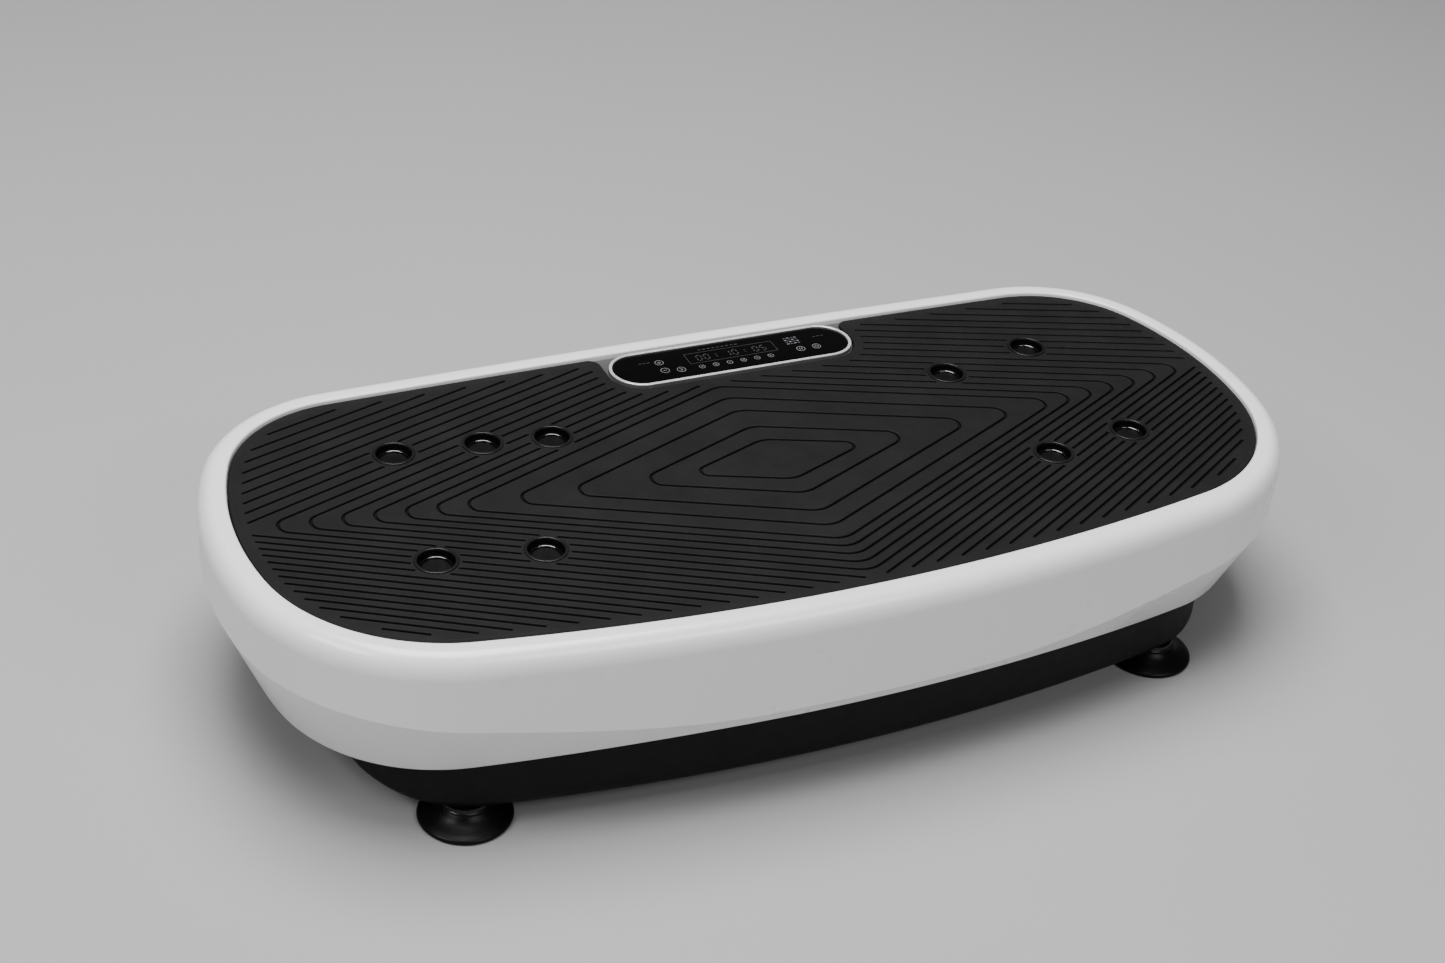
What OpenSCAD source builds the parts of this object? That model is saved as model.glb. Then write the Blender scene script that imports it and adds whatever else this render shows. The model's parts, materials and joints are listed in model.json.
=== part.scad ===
// Vibration plate: a rocking platform on a central axle, driven by a motor, a belt and an eccentric crank.
// Frame: origin at the bottom centre, +X along the plate, +Y towards the control panel, +Z up.

/* [Platform] */
// Length of the tread mat
mat_l = 678; // [660:2:700]
// Depth of the mat in front of its widest line
mat_f = 157; // [150:1:162]
// Depth of the mat behind its widest line
mat_r = 136; // [130:1:140]
// Height of the tread above the floor
tread_z = 140; // [138:1:146]
// Thickness of the tread mat
mat_t = 5; // [4:0.5:6]
// Width of the rim round the mat
rim_w = 18; // [16:1:22]
// Height of the lower lip of the shell at the middle of the front
lip_z = 67; // [65:1:69]
// Wall thickness of the shell
shell_t = 3; // [2.5:0.5:4]

/* [Tread pattern] */
// Width of one groove
groove_w = 2.2; // [1.5:0.1:3]
// Depth of one groove
groove_d = 1.5; // [1:0.1:2]
// Height of a pattern ring over its half length
groove_slope = 0.46; // [0.4:0.01:0.5]

/* [Magnet cups] */
// Outer radius of the lip of a cup
cup_lip_r = 13.3; // [13:0.1:15]
// Outer radius of the wall of a cup
cup_r = 12.3; // [11.8:0.1:12.6]
// Depth of a cup below the tread
cup_d = 6.5; // [6:0.1:6.8]

/* [Control panel] */
// Distance of the panel to the right of the middle
panel_x = 26; // [0:1:40]
// Half length of the bezel
panel_hl = 88.5; // [80:0.5:95]
// Half depth of the bezel
panel_hd = 21; // [19:0.5:22]
// Width of the bezel
bezel_w = 2.2; // [2:0.1:3]

/* [Base] */
// Distance of the tub's wall outside the mat's outline, at the middle
tub_out = -1.5; // [-3:0.1:0]
// Height of the underside of the tub
tub_z = 15; // [15:0.5:16]
// Height of the top edge of the tub
tub_top = 84; // [80:1:86]
// Distance of the feet from the middle, along the plate
foot_x = 240; // [232:1:241]
// Distance of the feet from the middle, across the plate
foot_y = 106; // [98:1:106]

/* [Drive] */
// Height of the rocking axle
axle_z = 86; // [86:1:88]
// Radius of the rocking axle
axle_r = 8; // [7:0.5:9]
// Distance of the crank from the rocking axle
crank_x = 110; // [105:1:115]
// Height of the crank
crank_z = 70; // [70:1:72]
// Throw of the eccentric journals
throw = 1.5; // [1:0.1:1.6]
// Distance of the motor shaft from the rocking axle
motor_x = 215; // [212:1:218]
// Height of the motor shaft
motor_z = 76; // [75:1:78]
// Radius of the pulley on the crank
big_pulley_r = 26; // [24:0.5:26]
// Radius of the pulley on the motor
small_pulley_r = 10.4; // [9.6:0.1:11]

/* [Hidden] */
$fn = 48;
eps = 0.05;                       // gap between pieces that sit in each other
y_mid = (mat_f - mat_r) / 2;      // the widest line of the platform
mat_z = tread_z - mat_t;          // underside of the mat
deck_t = 3;                       // thickness of the deck plate and of the shell's ledge
deck_z = mat_z - deck_t;          // underside of the deck plate
rim_z = tread_z + 2;              // top of the rim
ledge_w = 12;                     // width of the ledge under the edge of the mat
skirt_from = 72;                  // the skirt starts to lean this far from the middle
skirt_run = 270;                  // and leans fully this much further out
skirt_lean = 21.5;                // how far the lip draws in at the ends
lip_drop = 21;                    // how much lower the lip is at the ends
crease_up = 7;                    // height of the crease above the lip at the middle
crease_rise = 24.2;               // how much higher the crease is at the ends
tub_from = 228;                   // the tub's wall draws in from here
tub_run = 430;                    // and would be drawn in fully this much further out
tub_in = 230;                     // by this much
pattern_y = -5;                   // middle line of the tread pattern
pattern_drift = 27;               // the pattern's points move this far to the rear at the ends
pattern_edge = 9;                 // the pattern stops this far from the edge of the mat
point_reach = 10.5;               // the points of the rings reach out this much further
chassis_z = tub_z + 3.02;         // underside of the chassis plate
chassis_t = 2.5;
floor_z = chassis_z + chassis_t;  // top of the chassis plate
lug_y = 68;                       // middle of the lugs that carry the platform
bracket_y = 84;                   // middle of the brackets that hold the axle
block_y = 51;                     // middle of the crank's bearing blocks
rod_y = 74.5;                     // middle of the connecting rods
pin_z = 110;                      // height of the pins of the rods
pin_r = 5;
belt_y = 30;                      // middle of the belt
belt_t = 2.5;
belt_gap = 0.3;                   // room between the belt and its pulleys
panel_y = y_mid + 112;            // middle of the control panel
gap_w = 1.2;                      // room between the bezel and the mat
tray_y = 117;                     // middle of the tray under the panel
inlet_x = -40;                    // the power inlet, in the rear wall
switch_x = 15;                    // the switch, in the rear wall
socket_z = 44;                    // height of the inlet and the switch
rear_y = 144.2;                   // flat on the rear wall round the inlet and the switch
board_z = 51.6;                   // underside of the driver board
rod_rise = pin_z - crank_z;
rod_l = norm([throw, rod_rise]);
rod_tilt = atan2(throw, rod_rise);
// Places of the magnet cups on the tread
cups = [[-227, 73], [-171, 68], [-127, 62], [229, 73], [157, 58],
    [-238, -44], [-174, -53], [174, -53], [238, -44]];
// Places of the screws of the platform: in the shell's ledge, then in the rails of the frame
ledge_screws = [[-230, -121], [-230, 138], [230, -121], [230, 138], [0, -140.5], [110, -136]];
rail_screws = [for (x = [-260, -205, -60, 60, 205, 260], s = [-1, 1]) [x, 46 * s]];

// ---- outlines ----------------------------------------------------------------------------------
// An outline is a list of stations [centre x, centre y, radius, direction], in arcs that run into
// each other smoothly, so that an outline any distance outside or inside it is parallel to it.
function quarter(a, b, side_r, end_r, corner_r) =
    let (cs = [0, b - side_r], ce = [a - end_r, 0],
        rs = side_r - corner_r, re = end_r - corner_r, d = norm(ce - cs), e = (ce - cs) / d,
        s = (rs * rs - re * re + d * d) / (2 * d), h = sqrt(rs * rs - s * s),
        cc = cs + s * e + h * [e[1], -e[0]],
        t1 = atan2(cc[1], cc[0] - ce[0]), t2 = atan2(cc[1] - cs[1], cc[0]))
    concat([for (i = [0:6]) [ce[0], 0, end_r, t1 * i / 7]],
        [for (i = [0:8]) [cc[0], cc[1], corner_r, t1 + (t2 - t1) * i / 9]],
        [for (i = [0:6]) [0, cs[1], side_r, t2 + (90 - t2) * i / 6]]);

function stations(rear, front) = let (n = len(rear)) concat(
    rear,
    [for (i = [n-2:-1:0]) [-rear[i][0], rear[i][1], rear[i][2], 180 - rear[i][3]]],
    [for (i = [1:n-1]) [-front[i][0], -front[i][1], front[i][2], 180 + front[i][3]]],
    [for (i = [n-2:-1:1]) [front[i][0], -front[i][1], front[i][2], 360 - front[i][3]]]);

plate = stations(quarter(mat_l / 2, mat_r, 10000, 232, 82),
    quarter(mat_l / 2, mat_f, 1374, 232, 115));

// A point of a station, off millimetres outside its outline
function at(s, off) = [s[0] + (s[2] + off) * cos(s[3]), y_mid + s[1] + (s[2] + off) * sin(s[3])];
function outline(off) = [for (s = plate) at(s, off)];
function ring(off, z) = [for (s = plate) [each at(s, off), z]];

// Triangles between ring j and ring j + 1 of n points, for every j in the list
function skin(n, m, js) = [for (j = js, k = [0:n-1])
    let (a = j * n + k, b = j * n + (k + 1) % n,
        c = ((j + 1) % m) * n + (k + 1) % n, d = ((j + 1) % m) * n + k)
    each [[a, b, c], [a, c, d]]];

function smooth(t) = let (u = min(1, max(0, t))) u * u * (3 - 2 * u);
// 0 over the middle of the plate, 1 at its ends
function flare(s) = smooth((abs(at(s, 0)[0]) - skirt_from) / skirt_run);
// Where the tub's wall stands at a station
function tub_off(s) = tub_out - tub_in * smooth((abs(at(s, 0)[0]) - tub_from) / tub_run);
function tub_outline(off) = [for (s = plate) at(s, off + tub_off(s))];

// ---- platform ----------------------------------------------------------------------------------
// A line round the skirt: how far inside the wall, how high above the lip, and how it moves up
// and inwards at the ends
function skirt(inset, up, rise, lean) = [for (s = plate)
    [each at(s, rim_w - inset - lean * flare(s)), lip_z + up + rise * flare(s)]];

// The shell's wall stands upright down to a crease. The crease climbs towards the ends, and the
// skirt under it leans inwards to the lip.
module top_shell() {
    n = len(plate);
    rim = [[0.4, mat_z], [0.4, rim_z - 1.4], [1.2, rim_z - 0.3], [2.6, rim_z], [7, rim_z],
        [10.5, rim_z - 0.8], [13.8, rim_z - 3], [16.4, rim_z - 6.6], [17.7, rim_z - 10.8],
        [rim_w, rim_z - 15]];
    inside = [[rim_w - shell_t, rim_z - 15], [12, deck_z], [-ledge_w, deck_z], [-ledge_w, mat_z]];
    rings = [
        for (p = rim) ring(p[0], p[1]),
        skirt(0, crease_up + 2, crease_rise, 0),
        skirt(0.3, crease_up, crease_rise, 0),
        skirt(0.3, 0, -lip_drop, skirt_lean),
        skirt(shell_t, 0, -lip_drop, skirt_lean),
        skirt(shell_t, crease_up + 1, crease_rise, 0),
        for (p = inside) ring(p[0], p[1])];
    m = len(rings);
    color("white")
        polyhedron([for (r = rings) each r], skin(n, m, [0:m-1]), convexity = 6);
}

module pill(hl, hd) {
    translate([-hl + hd, -hd])
        square([2 * (hl - hd), 2 * hd]);
    for (s = [-1, 1])
        translate([s * (hl - hd), 0])
            circle(hd);
}

// The cut-out of the mat round the panel: it follows the panel, then flares to the rear edge
module panel_gap(grow) {
    throat = panel_hl + gap_w + grow;
    bend = 8;
    edge = mat_r + y_mid - panel_y - grow;
    pill(throat, panel_hd + gap_w + grow);
    difference() {
        translate([-throat - bend, 0])
            square([2 * (throat + bend), edge + 4]);
        for (s = [-1, 1]) {
            translate([s * (throat + bend), edge - bend])
                circle(bend);
            translate([s * (throat + bend / 2) - bend / 2 - eps, -eps])
                square([bend + 2 * eps, edge - bend + eps]);
        }
    }
}

// Half length of pattern ring i: five wide rings round the middle, then narrow ones to the ends
wide_rings = [52.5, 88.6, 134.4, 170.3, 202.8];
ring_step = 18.75;
ring_count = 25;
last_wide = len(wide_rings) - 1;
function ring_w(i) = wide_rings[min(i, last_wide)] + ring_step * max(0, i - last_wide);
// The points at the left and right of the rings drift towards the rear at the ends
function ring_y(w) = pattern_y + pattern_drift * pow(w / (mat_l / 2), 2);

module pattern() {
    for (i = [0:ring_count-1]) {
        w = ring_w(i);
        for (sx = [-1, 1], sy = [-1, 1]) {
            tip = [sx * (w + point_reach), ring_y(w)];
            top = [0, pattern_y + sy * groove_slope * w];
            d = top - tip;
            translate([tip[0], tip[1], tread_z - groove_d])
                rotate([0, 0, atan2(d[1], d[0])])
                    translate([0, -groove_w / 2, 0])
                        cube([norm(d), groove_w, groove_d + 1]);
        }
    }
}

module tread_mat() {
    color("dimgray")
        difference() {
            translate([0, 0, mat_z])
                linear_extrude(mat_t)
                    polygon(outline(0));
            intersection() {
                pattern();
                translate([0, 0, tread_z - groove_d - 1])
                    linear_extrude(groove_d + 3)
                        difference() {
                            polygon(outline(-pattern_edge));
                            translate([panel_x, panel_y])
                                panel_gap(8);
                            for (c = cups)
                                translate(c)
                                    circle(cup_lip_r + 1);
                        }
            }
            for (c = cups)
                translate([c[0], c[1], mat_z - 1])
                    cylinder(r = cup_r + 0.3, h = mat_t + 2);
            translate([panel_x, panel_y, mat_z - 1])
                linear_extrude(mat_t + 2)
                    panel_gap(0);
        }
}

module deck_plate() {
    color("slategray")
        difference() {
            translate([0, 0, deck_z])
                linear_extrude(deck_t)
                    polygon(outline(-ledge_w - 0.3));
            for (c = cups)
                translate([c[0], c[1], deck_z - 1])
                    cylinder(r = cup_r + 0.3, h = deck_t + 2);
            translate([panel_x - 75.5, tray_y - 14.5, deck_z - 1])
                cube([151, 29, deck_t + 2]);
            for (p = rail_screws)
                translate([p[0], p[1], deck_z - 1])
                    cylinder(r = 2.1, h = deck_t + 2);
        }
}

module along_y(p, r, l) {
    translate(p)
        rotate([90, 0, 0])
            cylinder(r = r, h = l, center = true);
}

// Two channel rails, four cross plates, the lugs of the rocking axle and those of the rods
module deck_frame() {
    color("darkgray")
        difference() {
            union() {
                for (s = [-1, 1])
                    translate([-285, s * 46 - 10, deck_z - 16])
                        cube([570, 20, 16]);
                for (s = [-1, 1])
                    translate([s * 230 - 14, -125, deck_z - 4])
                        cube([28, 268, 4]);
                translate([-35, -148, deck_z - 4])
                    cube([70, 246, 4]);
                translate([crank_x - 32, -145, deck_z - 4])
                    cube([64, 243, 4]);
                for (s = [-1, 1]) {
                    along_y([0, s * lug_y, axle_z], 22, 12);
                    translate([-22, s * lug_y - 6, axle_z])
                        cube([44, 12, deck_z - axle_z - 2]);
                }
                for (s = [-1, 1], t = [-1, 1]) {
                    along_y([crank_x, s * rod_y + t * 9, pin_z], 9, 4);
                    translate([crank_x - 9, s * rod_y + t * 9 - 2, pin_z])
                        cube([18, 4, deck_z - pin_z - 2]);
                }
            }
            for (s = [-1, 1]) {
                translate([-290, s * 46 - 7.5, deck_z - 17])
                    cube([580, 15, 14.5]);
                along_y([0, s * lug_y, axle_z], 14, 14);
                along_y([crank_x, s * rod_y, pin_z], pin_r + eps, 24);
            }
            for (p = concat(ledge_screws, rail_screws))
                translate([p[0], p[1], deck_z - 5])
                    cylinder(r = 2.1, h = 6);
        }
}

module bush(p, r_in, r_out, l) {
    difference() {
        along_y(p, r_out, l);
        along_y(p, r_in, l + 2);
    }
}

module pivot_bearings() {
    color("silver")
        for (s = [-1, 1])
            bush([0, s * lug_y, axle_z], axle_r + 0.04, 14 - 0.02, 12);
}

module rod_pins() {
    color("silver")
        for (s = [-1, 1]) {
            along_y([crank_x, s * rod_y, pin_z], pin_r, 24);
            for (t = [-1, 1])
                along_y([crank_x, s * rod_y + t * 12.3, pin_z], pin_r + 2, 1.4);
        }
}

module rod_bushes() {
    color("#303030")
        for (s = [-1, 1])
            bush([crank_x, s * rod_y, pin_z], pin_r + eps, pin_r + 4.1, 11);
}

module panel_surround() {
    color("gray")
        translate([0, 0, mat_z])
            linear_extrude(3.2)
                intersection() {
                    polygon(outline(-0.3));
                    translate([panel_x, panel_y])
                        difference() {
                            panel_gap(-0.3);
                            pill(panel_hl + 0.2, panel_hd + 0.2);
                        }
                }
}

module panel_bezel() {
    color("silver")
        translate([panel_x, panel_y, mat_z])
            difference() {
                linear_extrude(6.4)
                    pill(panel_hl, panel_hd);
                translate([0, 0, 2])
                    linear_extrude(6)
                        pill(panel_hl - bezel_w, panel_hd - bezel_w);
                translate([0, 0, -1])
                    linear_extrude(6)
                        pill(panel_hl - 6, panel_hd - 6);
            }
}

module panel_lens() {
    color("black")
        translate([panel_x, panel_y, mat_z + 2.02])
            linear_extrude(3.6)
                pill(panel_hl - bezel_w - 0.1, panel_hd - bezel_w - 0.1);
}

module panel_tray() {
    color("#202020")
        translate([panel_x - 75, tray_y - 14, deck_z - 10])
            difference() {
                cube([150, 28, 10 + deck_t]);
                translate([2, 2, 2])
                    cube([146, 24, 12]);
            }
}

module display_board() {
    color("darkgreen")
        translate([panel_x - 72.5, tray_y - 11.5, deck_z - 5])
            cube([145, 23, 1.6]);
    color("dimgray")
        for (i = [-2:2])
            translate([panel_x + 20 * i - 8, tray_y - 8, deck_z - 3.4])
                cube([16, 12, 4]);
    color("dimgray")
        translate([-36, tray_y - 5, deck_z - 8])
            cube([10, 8, 3]);
}

// The lead of the display: down beside the frame, with a loop that gives as the platform rocks
lead_route = [[-31, 116, 119.8], [-31, 116, 112], [-34, 114, 102], [-44, 108, 90], [-60, 98, 78],
    [-80, 82, 70], [-100, 64, 66], [-118, 48, 66], [-130, 40, 64], [-134, 38, 60], [-134, 38, 56.6]];
lead_r = 2;
lead_n = 8;

function unit(v) = v / norm(v);
function lead_dir(i) = unit(lead_route[min(i + 1, len(lead_route) - 1)] - lead_route[max(i - 1, 0)]);
function lead_ring(i) = let (d = lead_dir(i), u = unit(cross([1, -1, 0], d)), v = cross(d, u))
    [for (k = [0:lead_n-1]) lead_route[i] + lead_r * (cos(360 * k / lead_n) * u
        + sin(360 * k / lead_n) * v)];

module display_lead() {
    m = len(lead_route);
    color("black")
        polyhedron([for (i = [0:m-1]) each lead_ring(i)],
            concat([[for (k = [0:lead_n-1]) k]],
                [for (f = skin(lead_n, m, [0:m-2])) [f[2], f[1], f[0]]],
                [[for (k = [lead_n-1:-1:0]) (m - 1) * lead_n + k]]));
}

module platform_screws() {
    color("silver") {
        for (p = ledge_screws)
            translate([p[0], p[1], deck_z - 4]) {
                cylinder(r = 2, h = 6.4);
                translate([0, 0, -2.4])
                    cylinder(r = 4, h = 2.4);
            }
        for (p = rail_screws)
            translate([p[0], p[1], deck_z - 2.5]) {
                cylinder(r = 2, h = 2.5 + deck_t);
                translate([0, 0, -2.4])
                    cylinder(r = 4, h = 2.4);
            }
    }
}

module magnet_cup(i) {
    c = cups[i - 1];
    z = tread_z - cup_d;
    color("#282828")
        translate([c[0], c[1], 0])
            rotate_extrude()
                polygon([[0, z - 1.2], [cup_r, z - 1.2], [cup_r, tread_z], [cup_lip_r, tread_z],
                    [cup_lip_r, tread_z + 0.5], [cup_lip_r - 0.5, tread_z + 0.9],
                    [cup_r - 1, tread_z + 0.9], [cup_r - 1.2, tread_z], [10.4, z + 2.4],
                    [9.9, z + 2.8], [9.1, z + 2.4], [8.9, z], [0, z]]);
}

module magnets() {
    color("dimgray")
        for (c = cups)
            translate([c[0], c[1], tread_z - cup_d])
                cylinder(r = 8.8, h = 1.8);
}

// ---- base --------------------------------------------------------------------------------------
module foot_places() {
    for (x = [-foot_x, foot_x], y = [-foot_y, foot_y])
        translate([x, y, 0])
            children();
}

bracket_bolts = [for (x = [-32, 32], s = [-1, 1]) [x, s * bracket_y]];
block_bolts = [for (x = [-31, 31], s = [-1, 1]) [crank_x + x, s * block_y]];
motor_bolts = [for (x = [-24, 24], y = [-56, -6]) [motor_x + x, y]];
tub_screws = [for (x = [-190, -60, 160], y = [-118, 118]) [x, y]];

module base_tub() {
    n = len(plate);
    profile = [[-9, tub_z + 3], [-6, tub_z + 3.6], [-3.7, tub_z + 6], [-3, tub_z + 9], [-3, tub_top],
        [0, tub_top], [0, tub_z + 8.5], [-0.7, tub_z + 5.2], [-2.5, tub_z + 2.5], [-5.2, tub_z + 0.7],
        [-8.5, tub_z]];
    m = len(profile);
    color("#1c1c1c")
        difference() {
            polyhedron([for (p = profile, s = plate) [each at(s, p[0] + tub_off(s)), p[1]]],
                concat([[for (k = [n-1:-1:0]) k]],
                    [for (f = skin(n, m, [0:m-2])) [f[2], f[1], f[0]]],
                    [[for (k = [0:n-1]) (m - 1) * n + k]]), convexity = 6);
            foot_places()
                translate([0, 0, tub_z - 1])
                    cylinder(r = 4.3, h = 6);
            for (p = tub_screws)
                translate([p[0], p[1], tub_z - 1])
                    cylinder(r = 2.6, h = 6);
            translate([inlet_x - 16, rear_y, socket_z - 10])
                cube([32, 4, 20]);
            translate([inlet_x - 12.5, rear_y - 6, socket_z - 7.5])
                cube([25, 8, 15]);
            translate([switch_x - 14.5, rear_y, socket_z - 10])
                cube([29, 4, 20]);
            translate([switch_x - 12.5, rear_y - 6, socket_z - 8.5])
                cube([25, 8, 17]);
            for (i = [0:7])
                translate([motor_x - 32 + 8 * i, -60, tub_z - 1])
                    cube([3, 50, 6]);
        }
}

module chassis() {
    color("darkgray")
        difference() {
            union() {
                translate([0, 0, chassis_z])
                    linear_extrude(chassis_t)
                        polygon(tub_outline(-9.2));
                for (s = [-1, 1])
                    translate([-150, s * 127 - 1.25, floor_z - 0.5])
                        cube([300, 2.5, 10.5]);
                for (x = [-226, -114], y = [-34, 44])
                    translate([x, y, floor_z - 0.5])
                        cylinder(r = 4, h = board_z - floor_z + 0.4);
            }
            foot_places()
                translate([0, 0, chassis_z - 1])
                    cylinder(r = 4.2, h = 5);
            for (p = concat(tub_screws, bracket_bolts, block_bolts, motor_bolts))
                translate([p[0], p[1], chassis_z - 1])
                    cylinder(r = 2.55, h = 5);
            for (i = [0:7])
                translate([motor_x - 32 + 8 * i, -50, chassis_z - 1])
                    cube([3, 36, 5]);
        }
}

module pivot_axle() {
    color("silver")
        difference() {
            along_y([0, 0, axle_z], axle_r, 2 * bracket_y + 26);
            for (s = [-1, 1])
                bush([0, s * (bracket_y + 10), axle_z], axle_r - 1, axle_r + 1, 1.6);
        }
}

module axle_clips() {
    color("silver")
        for (s = [-1, 1])
            bush([0, s * (bracket_y + 10), axle_z], axle_r - 0.95, axle_r + 3, 1.5);
}

module pedestal(p, r, half_w, depth, bore_r, bolts) {
    difference() {
        union() {
            along_y(p, r, depth);
            translate([p[0] - r, p[1] - depth / 2, floor_z])
                cube([2 * r, depth, p[2] - floor_z]);
            translate([p[0] - half_w, p[1] - depth / 2, floor_z])
                cube([2 * half_w, depth, 5]);
        }
        along_y(p, bore_r, depth + 2);
        for (b = bolts)
            translate([b[0], b[1], floor_z - 1])
                cylinder(r = 2.6, h = 8);
    }
}

module axle_bracket(s) {
    color("darkgray")
        pedestal([0, s * bracket_y, axle_z], 18, 40, 16, axle_r + 0.02, bracket_bolts);
}

module crank_block(s) {
    color("darkgray")
        pedestal([crank_x, s * block_y, crank_z], 21, 38, 14, 14, block_bolts);
}

module crank_bearings() {
    color("silver")
        for (s = [-1, 1])
            bush([crank_x, s * block_y, crank_z], 8.04, 14 - 0.02, 14);
}

// A belt's outline: two circles and the quadrilateral between their outer tangents
module belt_shape(grow) {
    d = [motor_x - crank_x, motor_z - crank_z];
    a = atan2(d[1], d[0]);
    r1 = big_pulley_r + grow;
    r2 = small_pulley_r + grow;
    b = acos((r1 - r2) / norm(d));
    circle(r1);
    translate(d)
        circle(r2);
    polygon([r1 * [cos(a + b), sin(a + b)], d + r2 * [cos(a + b), sin(a + b)],
        d + r2 * [cos(a - b), sin(a - b)], r1 * [cos(a - b), sin(a - b)]]);
}

module drive_belt() {
    color("#181818")
        translate([crank_x, belt_y + 6, crank_z])
            rotate([90, 0, 0])
                linear_extrude(12)
                    difference() {
                        belt_shape(belt_gap + belt_t);
                        belt_shape(belt_gap);
                    }
}

module motor_can() {
    color("silver")
        difference() {
            along_y([motor_x, -35, motor_z], 31, 90);
            along_y([motor_x, -39, motor_z], 28.5, 90);
            along_y([motor_x, 6, motor_z], 9.5, 20);
        }
    color("dimgray")
        for (a = [0, 180])
            translate([motor_x, -10, motor_z])
                rotate([90, a, 0])
                    rotate_extrude(angle = 140)
                        translate([24, 0])
                            square([4.6, 58]);
}

module motor_end_cap() {
    color("#303030")
        difference() {
            union() {
                along_y([motor_x, -83, motor_z], 31, 6 - eps);
                along_y([motor_x, -78, motor_z], 28.4, 6);
            }
            along_y([motor_x, -79, motor_z], 9.5, 20);
        }
}

module motor_bearings() {
    color("silver")
        for (y = [7, -80])
            bush([motor_x, y, motor_z], 4.04, 9.5 - 0.02, 6);
}

module motor_bracket() {
    color("darkgray")
        difference() {
            union() {
                translate([motor_x - 34, 10.05, floor_z])
                    cube([68, 3, motor_z + 31 - floor_z]);
                translate([motor_x - 34, -66, floor_z])
                    cube([68, 79, 2.5]);
                // webs between the foot of the bracket and its face
                for (x = [-34, 31])
                    translate([motor_x + x, 11, floor_z + 1])
                        rotate([90, 0, 90])
                            linear_extrude(3)
                                polygon([[0, 0], [0, 40], [-60, 1], [-60, 0]]);
            }
            along_y([motor_x, 10, motor_z], 11, 12);
            for (b = motor_bolts)
                translate([b[0], b[1], floor_z - 1])
                    cylinder(r = 2.6, h = 5);
        }
}

// The circuit board with its transformer, capacitors, relay and terminals
module driver_board() {
    z = board_z;
    color("darkgreen")
        translate([-232, -40, z])
            cube([124, 90, 1.6]);
    color("dimgray")
        translate([-226, 8, z + 1.6])
            cube([36, 34, 26]);
    color("black")
        for (y = [-28, -10])
            translate([-140, y, z + 1.6])
                cylinder(r = 7.5, h = 24);
    color("green")
        translate([-174, 28, z + 1.6])
            cube([28, 12, 11]);
    color("ivory")
        translate([-139, 33, z + 1.6])
            cube([10, 10, 3]);
}

module heat_sink() {
    z = board_z + 1.65;
    color("silver") {
        translate([-222, -32, z])
            cube([64, 26, 4]);
        for (i = [0:7])
            translate([-222 + 8.8 * i, -32, z + 3.5])
                cube([2.4, 26, 18]);
    }
}

module power_inlet() {
    color("#202020")
        difference() {
            union() {
                translate([inlet_x - 15, rear_y + eps, socket_z - 9.5])
                    cube([30, 2.2, 19]);
                translate([inlet_x - 12, rear_y - 20, socket_z - 7])
                    cube([24, 21, 14]);
            }
            translate([inlet_x - 9, rear_y - 14, socket_z - 4.6])
                cube([18, 20, 9.2]);
            for (s = [-1, 1])
                along_y([inlet_x + 5.5 * s, rear_y - 20, socket_z], 1.25, 14);
        }
}

module inlet_pins() {
    color("silver")
        for (s = [-1, 1])
            along_y([inlet_x + 5.5 * s, rear_y - 15, socket_z], 1.2, 20);
}

module switch_body() {
    color("#202020")
        difference() {
            union() {
                translate([switch_x - 13.5, rear_y + eps, socket_z - 9.5])
                    cube([27, 2.2, 19]);
                translate([switch_x - 12, rear_y - 19, socket_z - 8])
                    cube([24, 20, 16]);
            }
            translate([switch_x - 10.9, rear_y - 9, socket_z - 6.2])
                cube([21.8, 14, 12.4]);
            translate([switch_x, rear_y - 3, socket_z - 7.5])
                cylinder(r = 1.26, h = 15);
        }
}

module foot() {
    color("#202020")
        rotate_extrude()
            polygon([[4.1, 7.5], [9, 6.8], [16, 4.4], [22.5, 0.9], [23.5, 0], [27.4, 0], [28.4, 0.8],
                [28.7, 2], [28.2, 3.3], [26.4, 4.6], [21.5, 6.6], [17.6, 9], [15.4, 11.5], [4.1, 11.5]]);
}

module foot_front_left() {
    translate([-foot_x, -foot_y, 0])
        foot();
}

module foot_front_right() {
    translate([foot_x, -foot_y, 0])
        foot();
}

module foot_rear_left() {
    translate([-foot_x, foot_y, 0])
        foot();
}

module foot_rear_right() {
    translate([foot_x, foot_y, 0])
        foot();
}

module foot_collars() {
    color("black")
        foot_places()
            rotate_extrude()
                polygon([[4.1, 11.52], [14.5, 11.52], [14.9, 12], [14.9, 12.8], [14.3, 13.4],
                    [12.6, 13.8], [12.6, tub_z - 0.02], [4.1, tub_z - 0.02]]);
}

module foot_bolts() {
    color("silver")
        foot_places() {
            translate([0, 0, 6])
                cylinder(r = 4, h = floor_z + 8 - 6);
            translate([0, 0, 4.6])
                cylinder(r = 6, h = 2);
            translate([0, 0, floor_z + 0.02])
                cylinder(r = 7.5, h = 6.5, $fn = 6);
        }
}

module bolt(p, z, l) {
    translate([p[0], p[1], z]) {
        cylinder(r = 4.2, h = 3.2);
        translate([0, 0, -l])
            cylinder(r = 2.5, h = l + 1);
    }
}

module base_screws() {
    color("silver") {
        for (p = concat(bracket_bolts, block_bolts))
            bolt(p, floor_z + 5.02, 7.3);
        for (p = motor_bolts)
            bolt(p, floor_z + 2.52, 4.8);
        for (p = tub_screws)
            translate([p[0], p[1], tub_z - 0.02])
                mirror([0, 0, 1])
                    bolt([0, 0], 0, 6.5);
    }
}

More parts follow.
